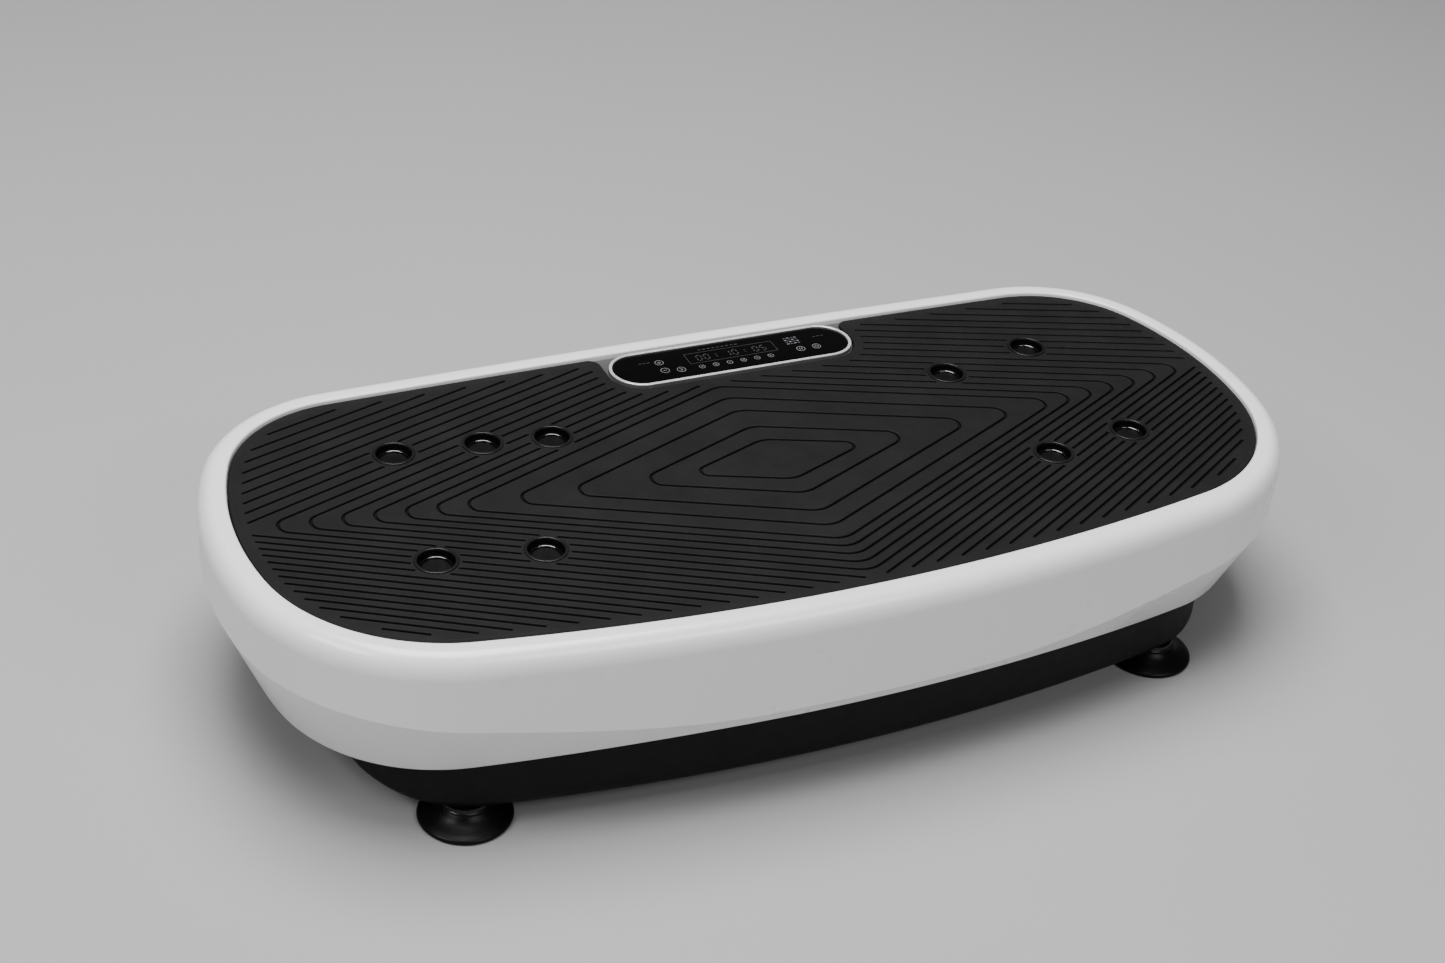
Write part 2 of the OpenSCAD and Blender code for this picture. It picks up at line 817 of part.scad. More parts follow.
// ---- crank, rods, rotor and switch -------------------------------------------------------------
module crank_shaft() {
    color("silver") {
        along_y([crank_x, 0, crank_z], 8, 122);
        for (s = [-1, 1]) {
            along_y([crank_x, s * 61.5, crank_z], 11.5, 3);
            along_y([crank_x + throw, s * 72.5, crank_z], 7, 20);
            along_y([crank_x + throw, s * 83.2, crank_z], 9, 2.4);
        }
        // half discs that balance the eccentric journals
        for (y = [-30, -14])
            intersection() {
                along_y([crank_x, y, crank_z], 24, 8);
                translate([crank_x - 30, y - 5, crank_z - 30])
                    cube([30, 10, 60]);
            }
    }
}

module grooved_pulley(p, r, bore_r) {
    difference() {
        union() {
            along_y(p, r, 16);
            for (s = [-1, 1])
                along_y(p + [0, 7.25 * s, 0], r + belt_gap + belt_t - 0.3, 1.5);
        }
        along_y(p, bore_r, 18);
    }
}

module driven_pulley() {
    color("silver")
        difference() {
            grooved_pulley([crank_x, belt_y, crank_z], big_pulley_r, 8.02);
            for (a = [0:60:300])
                along_y([crank_x + 17 * cos(a), belt_y, crank_z + 17 * sin(a)], 4.5, 18);
        }
}

module drive_pulley() {
    color("silver")
        grooved_pulley([motor_x, belt_y, motor_z], small_pulley_r, 4.02);
}

module rod(s) {
    color("lightgray")
        translate([crank_x + throw, s * rod_y, crank_z])
            rotate([0, -rod_tilt, 0])
                difference() {
                    union() {
                        along_y([0, 0, 0], 17, 12);
                        along_y([0, 0, rod_l], 14, 12);
                        translate([-9, -4.5, 0])
                            cube([18, 9, rod_l]);
                    }
                    along_y([0, 0, 0], 12, 14);
                    along_y([0, 0, rod_l], pin_r + 4.2, 14);
                }
}

module rod_bearing(s) {
    color("silver")
        bush([crank_x + throw, s * rod_y, crank_z], 7.04, 12 - 0.02, 12);
}

module motor_shaft() {
    color("silver")
        along_y([motor_x, -23, motor_z], 4, 126);
}

module rotor_core() {
    color("#a05a2c")
        bush([motor_x, -39, motor_z], 4.02, 22, 54);
}

module switch_rocker() {
    color("#303030")
        translate([switch_x, rear_y - 3, socket_z])
            rotate([0, 0, -8]) {
                translate([0, 0, -5.8])
                    linear_extrude(11.6)
                        polygon([[-10, -2.5], [10, -2.5], [10, 6], [0, 4.4], [-10, 6]]);
                translate([0, 0, -7.2])
                    cylinder(r = 1.2, h = 14.4);
            }
}

tread_mat();
top_shell();
deck_plate();
deck_frame();
pivot_bearings();
rod_pins();
rod_bushes();
panel_surround();
panel_bezel();
panel_lens();
panel_tray();
display_board();
display_lead();
platform_screws();
for (i = [1:len(cups)])
    magnet_cup(i);
magnets();
base_tub();
chassis();
pivot_axle();
axle_bracket(-1);  // axle_bracket_front
axle_bracket(1);  // axle_bracket_rear
axle_clips();
crank_block(-1);  // crank_block_front
crank_block(1);  // crank_block_rear
crank_bearings();
drive_belt();
motor_can();
motor_end_cap();
motor_bearings();
motor_bracket();
driver_board();
heat_sink();
power_inlet();
inlet_pins();
switch_body();
foot_front_left();
foot_front_right();
foot_rear_left();
foot_rear_right();
foot_collars();
foot_bolts();
base_screws();
crank_shaft();
driven_pulley();
rod(-1);  // rod_front
rod(1);  // rod_rear
rod_bearing(-1);  // rod_bearing_front
rod_bearing(1);  // rod_bearing_rear
motor_shaft();
rotor_core();
drive_pulley();
switch_rocker();
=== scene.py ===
"""The looks of the vibration plate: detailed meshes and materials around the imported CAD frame."""
import json
import math

import bpy
import bmesh
import numpy as np
from mathutils import Matrix, Vector
from mathutils.geometry import delaunay_2d_cdt


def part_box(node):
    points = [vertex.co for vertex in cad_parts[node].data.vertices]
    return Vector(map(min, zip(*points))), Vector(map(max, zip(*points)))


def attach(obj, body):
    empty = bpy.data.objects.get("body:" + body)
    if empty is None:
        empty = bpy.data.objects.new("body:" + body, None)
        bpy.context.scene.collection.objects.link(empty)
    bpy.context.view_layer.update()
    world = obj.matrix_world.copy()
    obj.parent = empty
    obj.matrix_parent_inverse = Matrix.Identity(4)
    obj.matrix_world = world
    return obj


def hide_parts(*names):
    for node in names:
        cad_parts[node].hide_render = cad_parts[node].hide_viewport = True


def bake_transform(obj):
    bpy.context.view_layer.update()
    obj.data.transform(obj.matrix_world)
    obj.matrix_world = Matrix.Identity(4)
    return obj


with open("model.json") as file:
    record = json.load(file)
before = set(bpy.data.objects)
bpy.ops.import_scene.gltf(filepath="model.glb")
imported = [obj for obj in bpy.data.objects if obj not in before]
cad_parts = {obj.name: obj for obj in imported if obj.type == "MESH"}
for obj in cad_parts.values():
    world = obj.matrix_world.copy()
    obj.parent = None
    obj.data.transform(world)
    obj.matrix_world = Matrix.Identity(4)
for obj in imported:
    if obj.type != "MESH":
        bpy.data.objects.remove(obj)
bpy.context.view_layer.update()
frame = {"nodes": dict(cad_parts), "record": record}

MM = 0.001

# ---- camera: metres and degrees ----
CAM_PLACE = (-0.5710, -1.0443, 0.8834)
CAM_YAW = 27.142
CAM_PITCH = 32.814
CAM_ROLL = 5.073
CAM_LENS = 55.34
CAM_SENSOR = 36.0

# ---- shape of the plate, in millimetres. LIP_TUCK is only in the looks, not in the CAD model ----
Y_MID = 10.5            # the widest line of the plate lies this far behind the middle
SIDE_R_FRONT = 1374
SIDE_R_REAR = 10000
END_R = 232
CORNER_R_FRONT = 115
CORNER_R_REAR = 82
RIM_W = 18
RIM_H = 15              # the rim curves down over this height
SHELL_T = 3
SKIRT_FROM = 72         # the skirt leans in from here to the ends
SKIRT_RUN = 270
SKIRT_LEAN = 21.5
LIP_TUCK = 3            # the lip draws in this far at the middle, where the CAD's is straight
LIP_DROP = 21
CREASE_UP = 7
CREASE_RISE = 24.2
TUB_FROM = 228          # the tub draws in from here to the ends
TUB_RUN = 430
TUB_IN = 230
PATTERN_Y = -5
PATTERN_SLOPE = 0.46
PATTERN_DRIFT = 27
RING_STEP = 18.75
RING_WIDTHS = (52.5, 88.6, 134.4, 170.3, 202.8)
RING_COUNT = 25
POINT_REACH = 10.5      # the points of the rings reach out this much further


# ---- helpers ----
def node_box(name):
    """A node's box in millimetres: low corner, high corner."""
    low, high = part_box(name)
    return np.array(low) / MM, np.array(high) / MM


def node_middle(name):
    low, high = node_box(name)
    return (low + high) / 2


def smoothstep(t):
    t = np.clip(t, 0, 1)
    return t * t * (3 - 2 * t)


def grown(stations, start, run):
    """0 over the middle of the plate, rising to 1 run millimetres past the start."""
    return smoothstep((np.abs(stations[:, 0]) - start) / run)


def new_object(name, points, faces):
    """An object from points in millimetres, with its faces turned outwards."""
    mesh = bpy.data.meshes.new(name)
    mesh.from_pydata([tuple(p) for p in np.asarray(points) * MM], [], [tuple(f) for f in faces])
    mesh.update()
    obj = bpy.data.objects.new(name, mesh)
    bpy.context.scene.collection.objects.link(obj)
    work = bmesh.new()
    work.from_mesh(mesh)
    bmesh.ops.recalc_face_normals(work, faces=work.faces)
    work.to_mesh(mesh)
    work.free()
    return obj


def add_mesh(name, points, faces, *row, **more):
    """A piece from points in millimetres; the rest is what finish_piece takes."""
    return finish_piece(new_object(name, points, faces), *row, **more)


def finish_piece(obj, body, slot, replaced=(), sharp=35.0, weighted=False, material=None):
    """Gives a piece its shading and its material, by its slot where no material is given, puts it in
    its body, and hides the nodes it replaces.

    A piece without a body is left without a parent.
    """
    mesh = obj.data
    mesh.shade_smooth()
    mesh.set_sharp_from_angle(angle=math.radians(sharp))
    mesh.materials.clear()
    mesh.materials.append(material or finishes[slot])
    if weighted:
        modifier = obj.modifiers.new("weighted", "WEIGHTED_NORMAL")
        modifier.keep_sharp = True
        apply_modifiers(obj)
    if body is not None:
        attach(obj, body)
    if replaced:
        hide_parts(*replaced)
    return obj


def apply_modifiers(obj):
    graph = bpy.context.evaluated_depsgraph_get()
    mesh = bpy.data.meshes.new_from_object(obj.evaluated_get(graph))
    obj.modifiers.clear()
    old = obj.data
    obj.data = mesh
    bpy.data.meshes.remove(old)


def bridge(faces, a, b):
    """Adds the faces between two closed rows of points."""
    n = len(a)
    faces.extend((a[k], a[(k + 1) % n], b[(k + 1) % n], b[k]) for k in range(n))


def loft(rings, closed=False, cap_first=False, cap_last=False):
    """Points and faces of rings of equal length. closed joins the last ring to the first."""
    n = len(rings[0])
    m = len(rings)
    points = np.concatenate([np.asarray(r, float) for r in rings])
    faces = []
    for j in range(m if closed else m - 1):
        a, b = j * n, ((j + 1) % m) * n
        bridge(faces, range(a, a + n), range(b, b + n))
    if cap_first:
        faces.append(tuple(range(n - 1, -1, -1)))
    if cap_last:
        faces.append(tuple(range((m - 1) * n, m * n)))
    return points, faces


def revolve(profile, centre, steps=72):
    """Points and faces of a profile [(radius, z), ...] turned about +Z. A radius of 0 is a pole."""
    points, faces, rows = [], [], []
    for r, z in profile:
        if r < 1e-6:
            rows.append([len(points)])
            points.append((centre[0], centre[1], z))
            continue
        rows.append(list(range(len(points), len(points) + steps)))
        for k in range(steps):
            t = 2 * math.pi * k / steps
            points.append((centre[0] + r * math.cos(t), centre[1] + r * math.sin(t), z))
    for lower, upper in zip(rows, rows[1:]):
        for k in range(steps):
            k1 = (k + 1) % steps
            if len(lower) == 1:
                faces.append((lower[0], upper[k1], upper[k]))
            elif len(upper) == 1:
                faces.append((lower[k], lower[k1], upper[0]))
            else:
                faces.append((lower[k], lower[k1], upper[k1], upper[k]))
    return points, faces


def tube(profile, centre, steps=72):
    """A closed profile turned about +Z, which makes a ring without an end."""
    points, faces = revolve(profile + profile[:1], centre, steps)
    last = len(points) - steps
    return points[:last], [tuple(i - last if i >= last else i for i in f) for f in faces]


def merge(parts):
    """One point list and one face list from several."""
    points, faces = [], []
    for part_points, part_faces in parts:
        offset = len(points)
        points.extend(tuple(p) for p in part_points)
        faces.extend(tuple(i + offset for i in f) for f in part_faces)
    return points, faces


# ---- the plate's outline ----
def quarter(a, b, side_r, end_r, corner_r, steps=(22, 36, 34)):
    """Stations (centre x, centre y, radius, direction) of a quarter of the outline."""
    cs, ce = np.array([0, b - side_r]), np.array([a - end_r, 0.0])
    rs, re = side_r - corner_r, end_r - corner_r
    d = np.linalg.norm(ce - cs)
    e = (ce - cs) / d
    s = (rs * rs - re * re + d * d) / (2 * d)
    h = math.sqrt(rs * rs - s * s)
    cc = cs + s * e + h * np.array([e[1], -e[0]])
    t1 = math.atan2(cc[1], cc[0] - ce[0])
    t2 = math.atan2(cc[1] - cs[1], cc[0])
    arcs = [(ce, end_r, 0, t1), (cc, corner_r, t1, t2), (cs, side_r, t2, math.pi / 2)]
    out = []
    for (c, r, u, v), n in zip(arcs, steps):
        out += [(c[0], c[1], r, u + (v - u) * i / n) for i in range(n)]
    return out + [(cs[0], cs[1], side_r, math.pi / 2)]


class Outline:
    """A closed outline of arcs, and every outline parallel to it."""

    def __init__(self, rear, front):
        pi = math.pi
        rows = list(rear)
        rows += [(-x, y, r, pi - t) for x, y, r, t in rear[-2::-1]]
        rows += [(-x, -y, r, pi + t) for x, y, r, t in front[1:]]
        rows += [(x, -y, r, 2 * pi - t) for x, y, r, t in front[-2:0:-1]]
        self.rows = np.array(rows, float)

    def at(self, off):
        x, y, r, t = self.rows.T
        return np.column_stack([x + (r + off) * np.cos(t), Y_MID + y + (r + off) * np.sin(t)])

    def ring(self, off, z):
        flat = self.at(off)
        return np.column_stack([flat, np.broadcast_to(z, len(flat))])


mat_low, mat_high = node_box("tread_mat")
tub_low, tub_high = node_box("base_tub")
shell_low, shell_high = node_box("top_shell")
TREAD_Z = mat_high[2]
MAT_Z = mat_low[2]
plate = Outline(
    quarter(mat_high[0], mat_high[1] - Y_MID, SIDE_R_REAR, END_R, CORNER_R_REAR),
    quarter(mat_high[0], Y_MID - mat_low[1], SIDE_R_FRONT, END_R, CORNER_R_FRONT))
tub_wall = mat_low[1] - tub_low[1] - TUB_IN * grown(plate.at(0), TUB_FROM, TUB_RUN)


# ---- materials ----
NOISE_RANGE = (0.3, 0.7)     # most of a noise texture's values lie between these


def noise(nodes, links, scale, detail=4.0, rough=0.5, stretch=None):
    """Noise over the piece's own coordinates, stretched along its axes if that is asked for."""
    place = nodes.new("ShaderNodeTexCoord").outputs["Object"]
    if stretch is not None:
        mapping = nodes.new("ShaderNodeMapping")
        mapping.inputs["Scale"].default_value = stretch
        links.new(place, mapping.inputs["Vector"])
        place = mapping.outputs["Vector"]
    texture = nodes.new("ShaderNodeTexNoise")
    texture.inputs["Scale"].default_value = scale
    texture.inputs["Detail"].default_value = detail
    texture.inputs["Roughness"].default_value = rough
    links.new(place, texture.inputs["Vector"])
    return texture.outputs["Fac"]


def bumped(nodes, links, height, strength, depth, normal=None):
    """The normal that a height gives, on top of another normal if there is one."""
    bump = nodes.new("ShaderNodeBump")
    bump.inputs["Strength"].default_value = strength
    bump.inputs["Distance"].default_value = depth
    links.new(height, bump.inputs["Height"])
    if normal is not None:
        links.new(normal, bump.inputs["Normal"])
    return bump.outputs["Normal"]


def ramp(nodes, links, value, low, high):
    """A ramp between two colours, over the middle of the value's range."""
    node = nodes.new("ShaderNodeValToRGB")
    for element, place, colour in zip(node.color_ramp.elements, NOISE_RANGE, (low, high)):
        element.position = place
        element.color = (*colour, 1)
    links.new(value, node.inputs["Fac"])
    return node.outputs["Color"]


def map_range(nodes, links, value, low, high, start=NOISE_RANGE[0], end=NOISE_RANGE[1]):
    """A value that goes from low to high while the given one goes from start to end."""
    node = nodes.new("ShaderNodeMapRange")
    for socket, number in (("From Min", start), ("From Max", end), ("To Min", low), ("To Max", high)):
        node.inputs[socket].default_value = number
    links.new(value, node.inputs["Value"])
    return node.outputs["Result"]


def painted_shade_below(nodes, links, tone, height):
    """Painted shade: the tone fades to a fifth of itself a millimetre under the height."""
    split = nodes.new("ShaderNodeSeparateXYZ")
    mix = nodes.new("ShaderNodeVectorMath")
    mix.operation = "SCALE"
    links.new(nodes.new("ShaderNodeTexCoord").outputs["Object"], split.inputs["Vector"])
    fade = map_range(nodes, links, split.outputs["Z"], 0.2, 1.0,
                     (height - 1.0) * MM, (height - 0.15) * MM)
    links.new(tone, mix.inputs[0])
    links.new(fade, mix.inputs["Scale"])
    return mix.outputs["Vector"]


def finish(name, low, high, rough, metallic=0.0, tone_scale=30.0, rough_scale=120.0,
           bumps=((900.0, 0.05, 0.0002),), coat=0.0, coat_rough=0.1, gloss=0.5, painted_shade_under=None):
    """A procedural finish: two tones, varying roughness, and bumps of (scale, strength, depth). Under
    a given height the tone darkens as painted shade.
    """
    material = bpy.data.materials.new(name)
    material.use_nodes = True
    nodes, links = material.node_tree.nodes, material.node_tree.links
    shader = nodes["Principled BSDF"]
    shader.inputs["Metallic"].default_value = metallic
    shader.inputs["Specular IOR Level"].default_value = gloss
    shader.inputs["Coat Weight"].default_value = coat
    shader.inputs["Coat Roughness"].default_value = coat_rough
    tone = ramp(nodes, links, noise(nodes, links, tone_scale), low, high)
    # painted shade: under the given height the tone fades darker, where shade would fall
    if painted_shade_under is not None:
        tone = painted_shade_below(nodes, links, tone, painted_shade_under)
    links.new(tone, shader.inputs["Base Color"])
    links.new(map_range(nodes, links, noise(nodes, links, rough_scale), *rough),
              shader.inputs["Roughness"])
    normal = None
    for scale, strength, depth in bumps:
        normal = bumped(nodes, links, noise(nodes, links, scale, 3.0, 0.6), strength, depth, normal)
    if normal is not None:
        links.new(normal, shader.inputs["Normal"])
    return material


def brushed(name, low, high, rough, stretch=(20.0, 1500.0, 20.0)):
    """Metal with fine lines, which run across the axes that are stretched most."""
    material = finish(name, low, high, rough, metallic=1.0, bumps=())
    nodes, links = material.node_tree.nodes, material.node_tree.links
    height = noise(nodes, links, 1.0, 3.0, stretch=stretch)
    links.new(bumped(nodes, links, height, 0.2, 0.0001), nodes["Principled BSDF"].inputs["Normal"])
    return material


def grey(v, tint=0.0):
    """A grey, a little blue where there is a tint."""
    return (v, v, v * (1 + tint))


def make_finishes():
    """One material for each of the record's slots."""
    fine_grain = ((2200.0, 0.35, 0.0002),)
    metal = {"metallic": 1.0}
    rows = {                    # two tones, a range of roughness, bumps, and what else there is
        "shell_white": (grey(0.755), grey(0.762), (0.27, 0.30), ((260.0, 0.01, 0.0001),),
            dict(tone_scale=8, rough_scale=20, coat=0.4, coat_rough=0.14)),
        # the tread gets painted shade under its top face: in the grooves and down its rounded edge
        "tread_rubber": (grey(0.0075, 0.05), grey(0.0100, 0.05), (0.50, 0.62),
            ((2600.0, 0.5, 0.00025), (420.0, 0.12, 0.0003)),
            dict(gloss=0.10, painted_shade_under=TREAD_Z)),
        "tub_black": (grey(0.0030), grey(0.0042), (0.46, 0.56), ((1500.0, 0.5, 0.0003),),
            dict(gloss=0.14)),
        "black_abs": (grey(0.014), grey(0.019), (0.42, 0.52), fine_grain, {}),
        "rocker_black": (grey(0.013), grey(0.018), (0.30, 0.38), ((2600.0, 0.15, 0.0001),), {}),
        "panel_grey": (grey(0.055, 0.03), grey(0.062, 0.03), (0.38, 0.46), fine_grain, {}),
        # the bezel's sides get painted shade under its top, down in the gap round the panel
        "bezel_silver": (grey(0.60, 0.02), grey(0.66, 0.02), (0.24, 0.30),
            ((1800.0, 0.06, 0.0001),),
            dict(metallic=0.4, painted_shade_under=node_box("panel_bezel")[1][2])),
        "lens_black": (grey(0.0012), grey(0.0018), (0.07, 0.11), ((60.0, 0.03, 0.0003),),
            dict(gloss=0.10)),
        # the cups get painted shade inside, under the mat's top
        "cup_black": (grey(0.0055), grey(0.0075), (0.24, 0.32), ((1400.0, 0.10, 0.0001),),
            dict(gloss=0.25, painted_shade_under=TREAD_Z)),
        "magnet_black": (grey(0.0025), grey(0.0045), (0.34, 0.48), ((1200.0, 0.25, 0.0002),),
            dict(gloss=0.12)),
        "foot_rubber": (grey(0.0030), grey(0.0042), (0.30, 0.40), ((1600.0, 0.15, 0.0002),),
            dict(gloss=0.12)),
        "collar_black": (grey(0.004), grey(0.006), (0.16, 0.24), ((900.0, 0.08, 0.0001),),
            dict(gloss=0.35)),
        "bush_rubber": (grey(0.012), grey(0.018), (0.6, 0.75), fine_grain, {}),
        "lead_black": (grey(0.012), grey(0.016), (0.42, 0.52), ((1800.0, 0.2, 0.0002),), {}),
        "black_steel": (grey(0.022), grey(0.030), (0.38, 0.5), ((1400.0, 0.45, 0.0003),), {}),
        "zinc_steel": ((0.50, 0.50, 0.49), (0.60, 0.60, 0.58), (0.28, 0.42),
            ((1200.0, 0.1, 0.0002),), dict(tone_scale=90, **metal)),
        "plain_aluminium": (grey(0.62), grey(0.72), (0.34, 0.48), ((700.0, 0.3, 0.0003),), metal),
        "pin_nickel": ((0.66, 0.63, 0.56), (0.74, 0.71, 0.64), (0.14, 0.24),
            ((900.0, 0.05, 0.0001),), metal),
        "circuit_board": ((0.012, 0.09, 0.035), (0.018, 0.14, 0.055), (0.25, 0.4),
            ((800.0, 0.2, 0.0002),), dict(tone_scale=160)),
        "copper_winding": ((0.50, 0.20, 0.08), (0.68, 0.31, 0.14), (0.28, 0.42),
            ((1500.0, 0.5, 0.0004),), dict(tone_scale=200, **metal)),
    }
    made = {name: finish(name, low, high, rough, bumps=bumps, **more)
            for name, (low, high, rough, bumps, more) in rows.items()}
    made["bearing_steel"] = brushed("bearing_steel", grey(0.56), grey(0.64), (0.16, 0.26))
    made["ground_steel"] = brushed("ground_steel", grey(0.58), grey(0.66), (0.20, 0.32),
                                   (900.0, 40.0, 900.0))
    made["motor_steel"] = brushed("motor_steel", grey(0.46), grey(0.54), (0.28, 0.4))
    return made


finishes = make_finishes()


def dress_cad_nodes():
    """Every CAD node gets its slot's finish."""
    for row in frame["record"]["subparts"]:
        mesh = frame["nodes"][row["node"]].data
        mesh.materials.clear()
        mesh.materials.append(finishes[row["material_slot"]])


# ---- shell and tub ----
def arc(c, r, a0, a1, n):
    """n points (off, z) of an arc about c with half axes r, from angle a0 to a1 in degrees."""
    angles = np.radians(np.linspace(a0, a1, n))
    return [(c[0] + r[0] * math.cos(t), c[1] + r[1] * math.sin(t)) for t in angles]


def make_shell():
    """The platform's closed moulding: rim, wall, crease, leaning skirt, lip and inner ledge."""
    rim_z = shell_high[2]
    flare = grown(plate.at(0), SKIRT_FROM, SKIRT_RUN)
    lip_z = shell_low[2] + LIP_DROP * flare.max()
    lip = lip_z - LIP_DROP * flare
    crease = lip_z + CREASE_UP + CREASE_RISE * flare
    lean = LIP_TUCK + (SKIRT_LEAN - LIP_TUCK) * flare
    rows = [(0.4, MAT_Z), (0.4, TREAD_Z - 1)]
    rows += arc((2.0, rim_z - 1.6), (1.6, 1.6), 180, 95, 6)
    rows += [(4.2, rim_z + 0.03), (6.0, rim_z + 0.03)]
    rows += arc((7, rim_z - RIM_H), (RIM_W - 7, RIM_H), 88, 0, 20)
    rows += [(RIM_W, (rim_z - RIM_H) * (1 - share) + crease * share) for share in (0.35, 0.7)]
    # the crease is a crisp step between the wall and the leaning skirt
    rows += [(RIM_W + off, crease + up) for off, up in ((0, 0.9), (0, 0.3), (-0.12, 0.06), (-0.5, 0))]
    rows += [(RIM_W - 0.3 - lean * share, crease * (1 - share) + lip * share)
             for share in (0.02, 0.3, 0.65, 0.96)]
    inner = RIM_W - SHELL_T
    ledge_z = MAT_Z - 3
    rows += [(RIM_W - 0.5 - lean, lip + 0.2), (RIM_W - 0.9 - lean, lip), (inner + 0.3 - lean, lip),
             (inner - lean, lip + 0.4), (inner, crease + 1.5), (inner, rim_z - 14), (12, ledge_z),
             (-12, ledge_z), (-12, MAT_Z)]
    points, faces = loft([plate.ring(off, z) for off, z in rows], closed=True)
    add_mesh("shell", points, faces, "platform", "shell_white", ["top_shell"], sharp=32,
             weighted=True)


def box_mesh(low, high):
    (x0, y0, z0), (x1, y1, z1) = low, high
    points = [(x, y, z) for z in (z0, z1) for y in (y0, y1) for x in (x0, x1)]
    faces = [(0, 2, 3, 1), (4, 5, 7, 6), (0, 1, 5, 4), (2, 6, 7, 3), (0, 4, 6, 2), (1, 3, 7, 5)]
    return points, faces


def cut(obj, parts):
    """Cuts closed parts, in millimetres, out of an object."""
    cutter = new_object("cutter", *merge(parts))
    modifier = obj.modifiers.new("cut", "BOOLEAN")
    modifier.operation = "DIFFERENCE"
    modifier.solver = "EXACT"
    modifier.object = cutter
    apply_modifiers(obj)
    bpy.data.objects.remove(cutter)


FEET = ("foot_front_left", "foot_front_right", "foot_rear_left", "foot_rear_right")
TUB_SCREWS = [(x, y) for x in (-190, -60, 160) for y in (-118, 118)]
FOOT_HOLE_R = 4.4
SCREW_HOLE_R = 2.7
BEZEL_DEEP = 2.25       # how far the inlet and the switch stand out of their flat
VENTS = 8
VENT_STEP = 8
VENT_W = 3
VENT_Y = (-60, -10)


def make_tub():
    """The base's tub, with its screw and bolt holes, vents and the openings in its rear wall."""
    low_z, top_z = tub_low[2], tub_high[2]
    profile = [(-20, low_z + 3), (-9.5, low_z + 3)]
    profile += arc((-9, low_z + 9), (6, 6), -85, -5, 7)
    profile += [(-3, low_z + 14), (-3, top_z - 0.3), (-2.7, top_z), (-0.3, top_z), (0, top_z - 0.3)]
    profile += [(0, low_z + 30)]
    profile += arc((-9, low_z + 9), (9, 9), 0, -88, 12)
    profile += [(-20, low_z)]
    rings = [plate.ring(off + tub_wall, z) for off, z in profile]
    tub = new_object("tub", *loft(rings, cap_first=True, cap_last=True))
    parts = [rod_z(node_middle(foot)[:2], FOOT_HOLE_R, low_z - 2, low_z + 6) for foot in FEET]
    parts += [rod_z(place, SCREW_HOLE_R, low_z - 2, low_z + 6) for place in TUB_SCREWS]
    for name, half_w, half_h in (("power_inlet", 12.5, 7.5), ("switch_body", 12.5, 8.5)):
        low, high = node_box(name)
        x, _, z = (low + high) / 2
        flat_y = high[1] - BEZEL_DEEP
        parts.append(box_mesh((x - half_w, flat_y - 6, z - half_h),
                              (x + half_w, flat_y + 1, z + half_h)))
        parts.append(box_mesh((low[0] - 1, flat_y, low[2] - 0.5),
                              (high[0] + 1, flat_y + 6, high[2] + 0.5)))
    first_x = node_middle("motor_can")[0] - VENTS * VENT_STEP / 2
    for x in (first_x + VENT_STEP * i for i in range(VENTS)):
        parts.append(slot_mesh(x, x + VENT_W, *VENT_Y, low_z - 2, low_z + 8))
    cut(tub, parts)
    finish_piece(tub, "base", "tub_black", ["base_tub"], sharp=32)


def rod_z(place, r, z0, z1):
    """A closed rod along Z."""
    return revolve([(0, z0), (r, z0), (r, z1), (0, z1)], place, 32)


def slot_mesh(x0, x1, y0, y1, z0, z1):
    """A slot with round ends, along Y."""
    r = (x1 - x0) / 2
    cx = (x0 + x1) / 2
    flat = arc((cx, y1 - r), (r, r), 0, 180, 9) + arc((cx, y0 + r), (r, r), 180, 360, 9)
    rings = [[(x, y, z) for x, y in flat] for z in (z0, z1)]
    return loft(rings, cap_first=True, cap_last=True)


def make_feet():
    """The suction feet, each with its collar between it and the tub."""
    profile = [(4.1, 7.5), (9, 6.8), (13, 5.7), (17, 4.0), (20.5, 2.0), (22.6, 0.6), (23.6, 0.05),
               (25.5, 0.0), (27.2, 0.12), (28.2, 0.6), (28.65, 1.4), (28.65, 2.2), (28.2, 3.0),
               (27.3, 3.7), (26.6, 3.95), (26.2, 4.25), (24.2, 5.1), (22.0, 6.1), (20.0, 7.2),
               (18.4, 8.3), (17.1, 9.5), (16.2, 10.6), (15.6, 11.2), (15.0, 11.5), (4.1, 11.5)]
    for foot in FEET:
        add_mesh("suction_" + foot, *tube(profile, node_middle(foot), 96), "base", "foot_rubber",
                 [foot], sharp=40)
    under = node_box("foot_collars")[1][2]
    collar = [(4.1, 11.52), (14.9, 11.52), (15.3, 11.62), (15.5, 11.9), (15.45, 12.2), (15.2, 12.45),
              (14.8, 12.6), (14.6, 12.85), (14.55, 13.4), (14.55, under - 0.3), (14.3, under),
              (4.1, under)]
    parts = [tube(collar, node_middle(foot)) for foot in FEET]
    add_mesh("collars", *merge(parts), "base", "collar_black", ["foot_collars"], sharp=40)


# ---- tread mat ----
panel_low, panel_high = node_box("panel_bezel")
PANEL = (panel_low + panel_high) / 2
PANEL_HL = (panel_high[0] - panel_low[0]) / 2
PANEL_HD = (panel_high[1] - panel_low[1]) / 2
CUPS = [f"magnet_cup_{i}" for i in range(1, 10)]
CUP_PLACES = [node_middle(cup)[:2] for cup in CUPS]
CUP_LIP_R = (node_box(CUPS[0])[1][0] - node_box(CUPS[0])[0][0]) / 2
BORDER = 9.0                 # the grooves stop this far from the edge of the mat
PANEL_CLEAR = 8.0            # and this far from the gap round the panel
CUP_CLEAR = 2.1              # and this far from the lips of the cups
GAP = 1.2                    # room between the bezel and the mat
GAP_BEND = 8.0               # radius of the mat's corners beside the panel
END_POINTS = 21              # on a quarter turn at the panel's ends
BEND_POINTS = 13             # on one of the mat's corners beside the panel
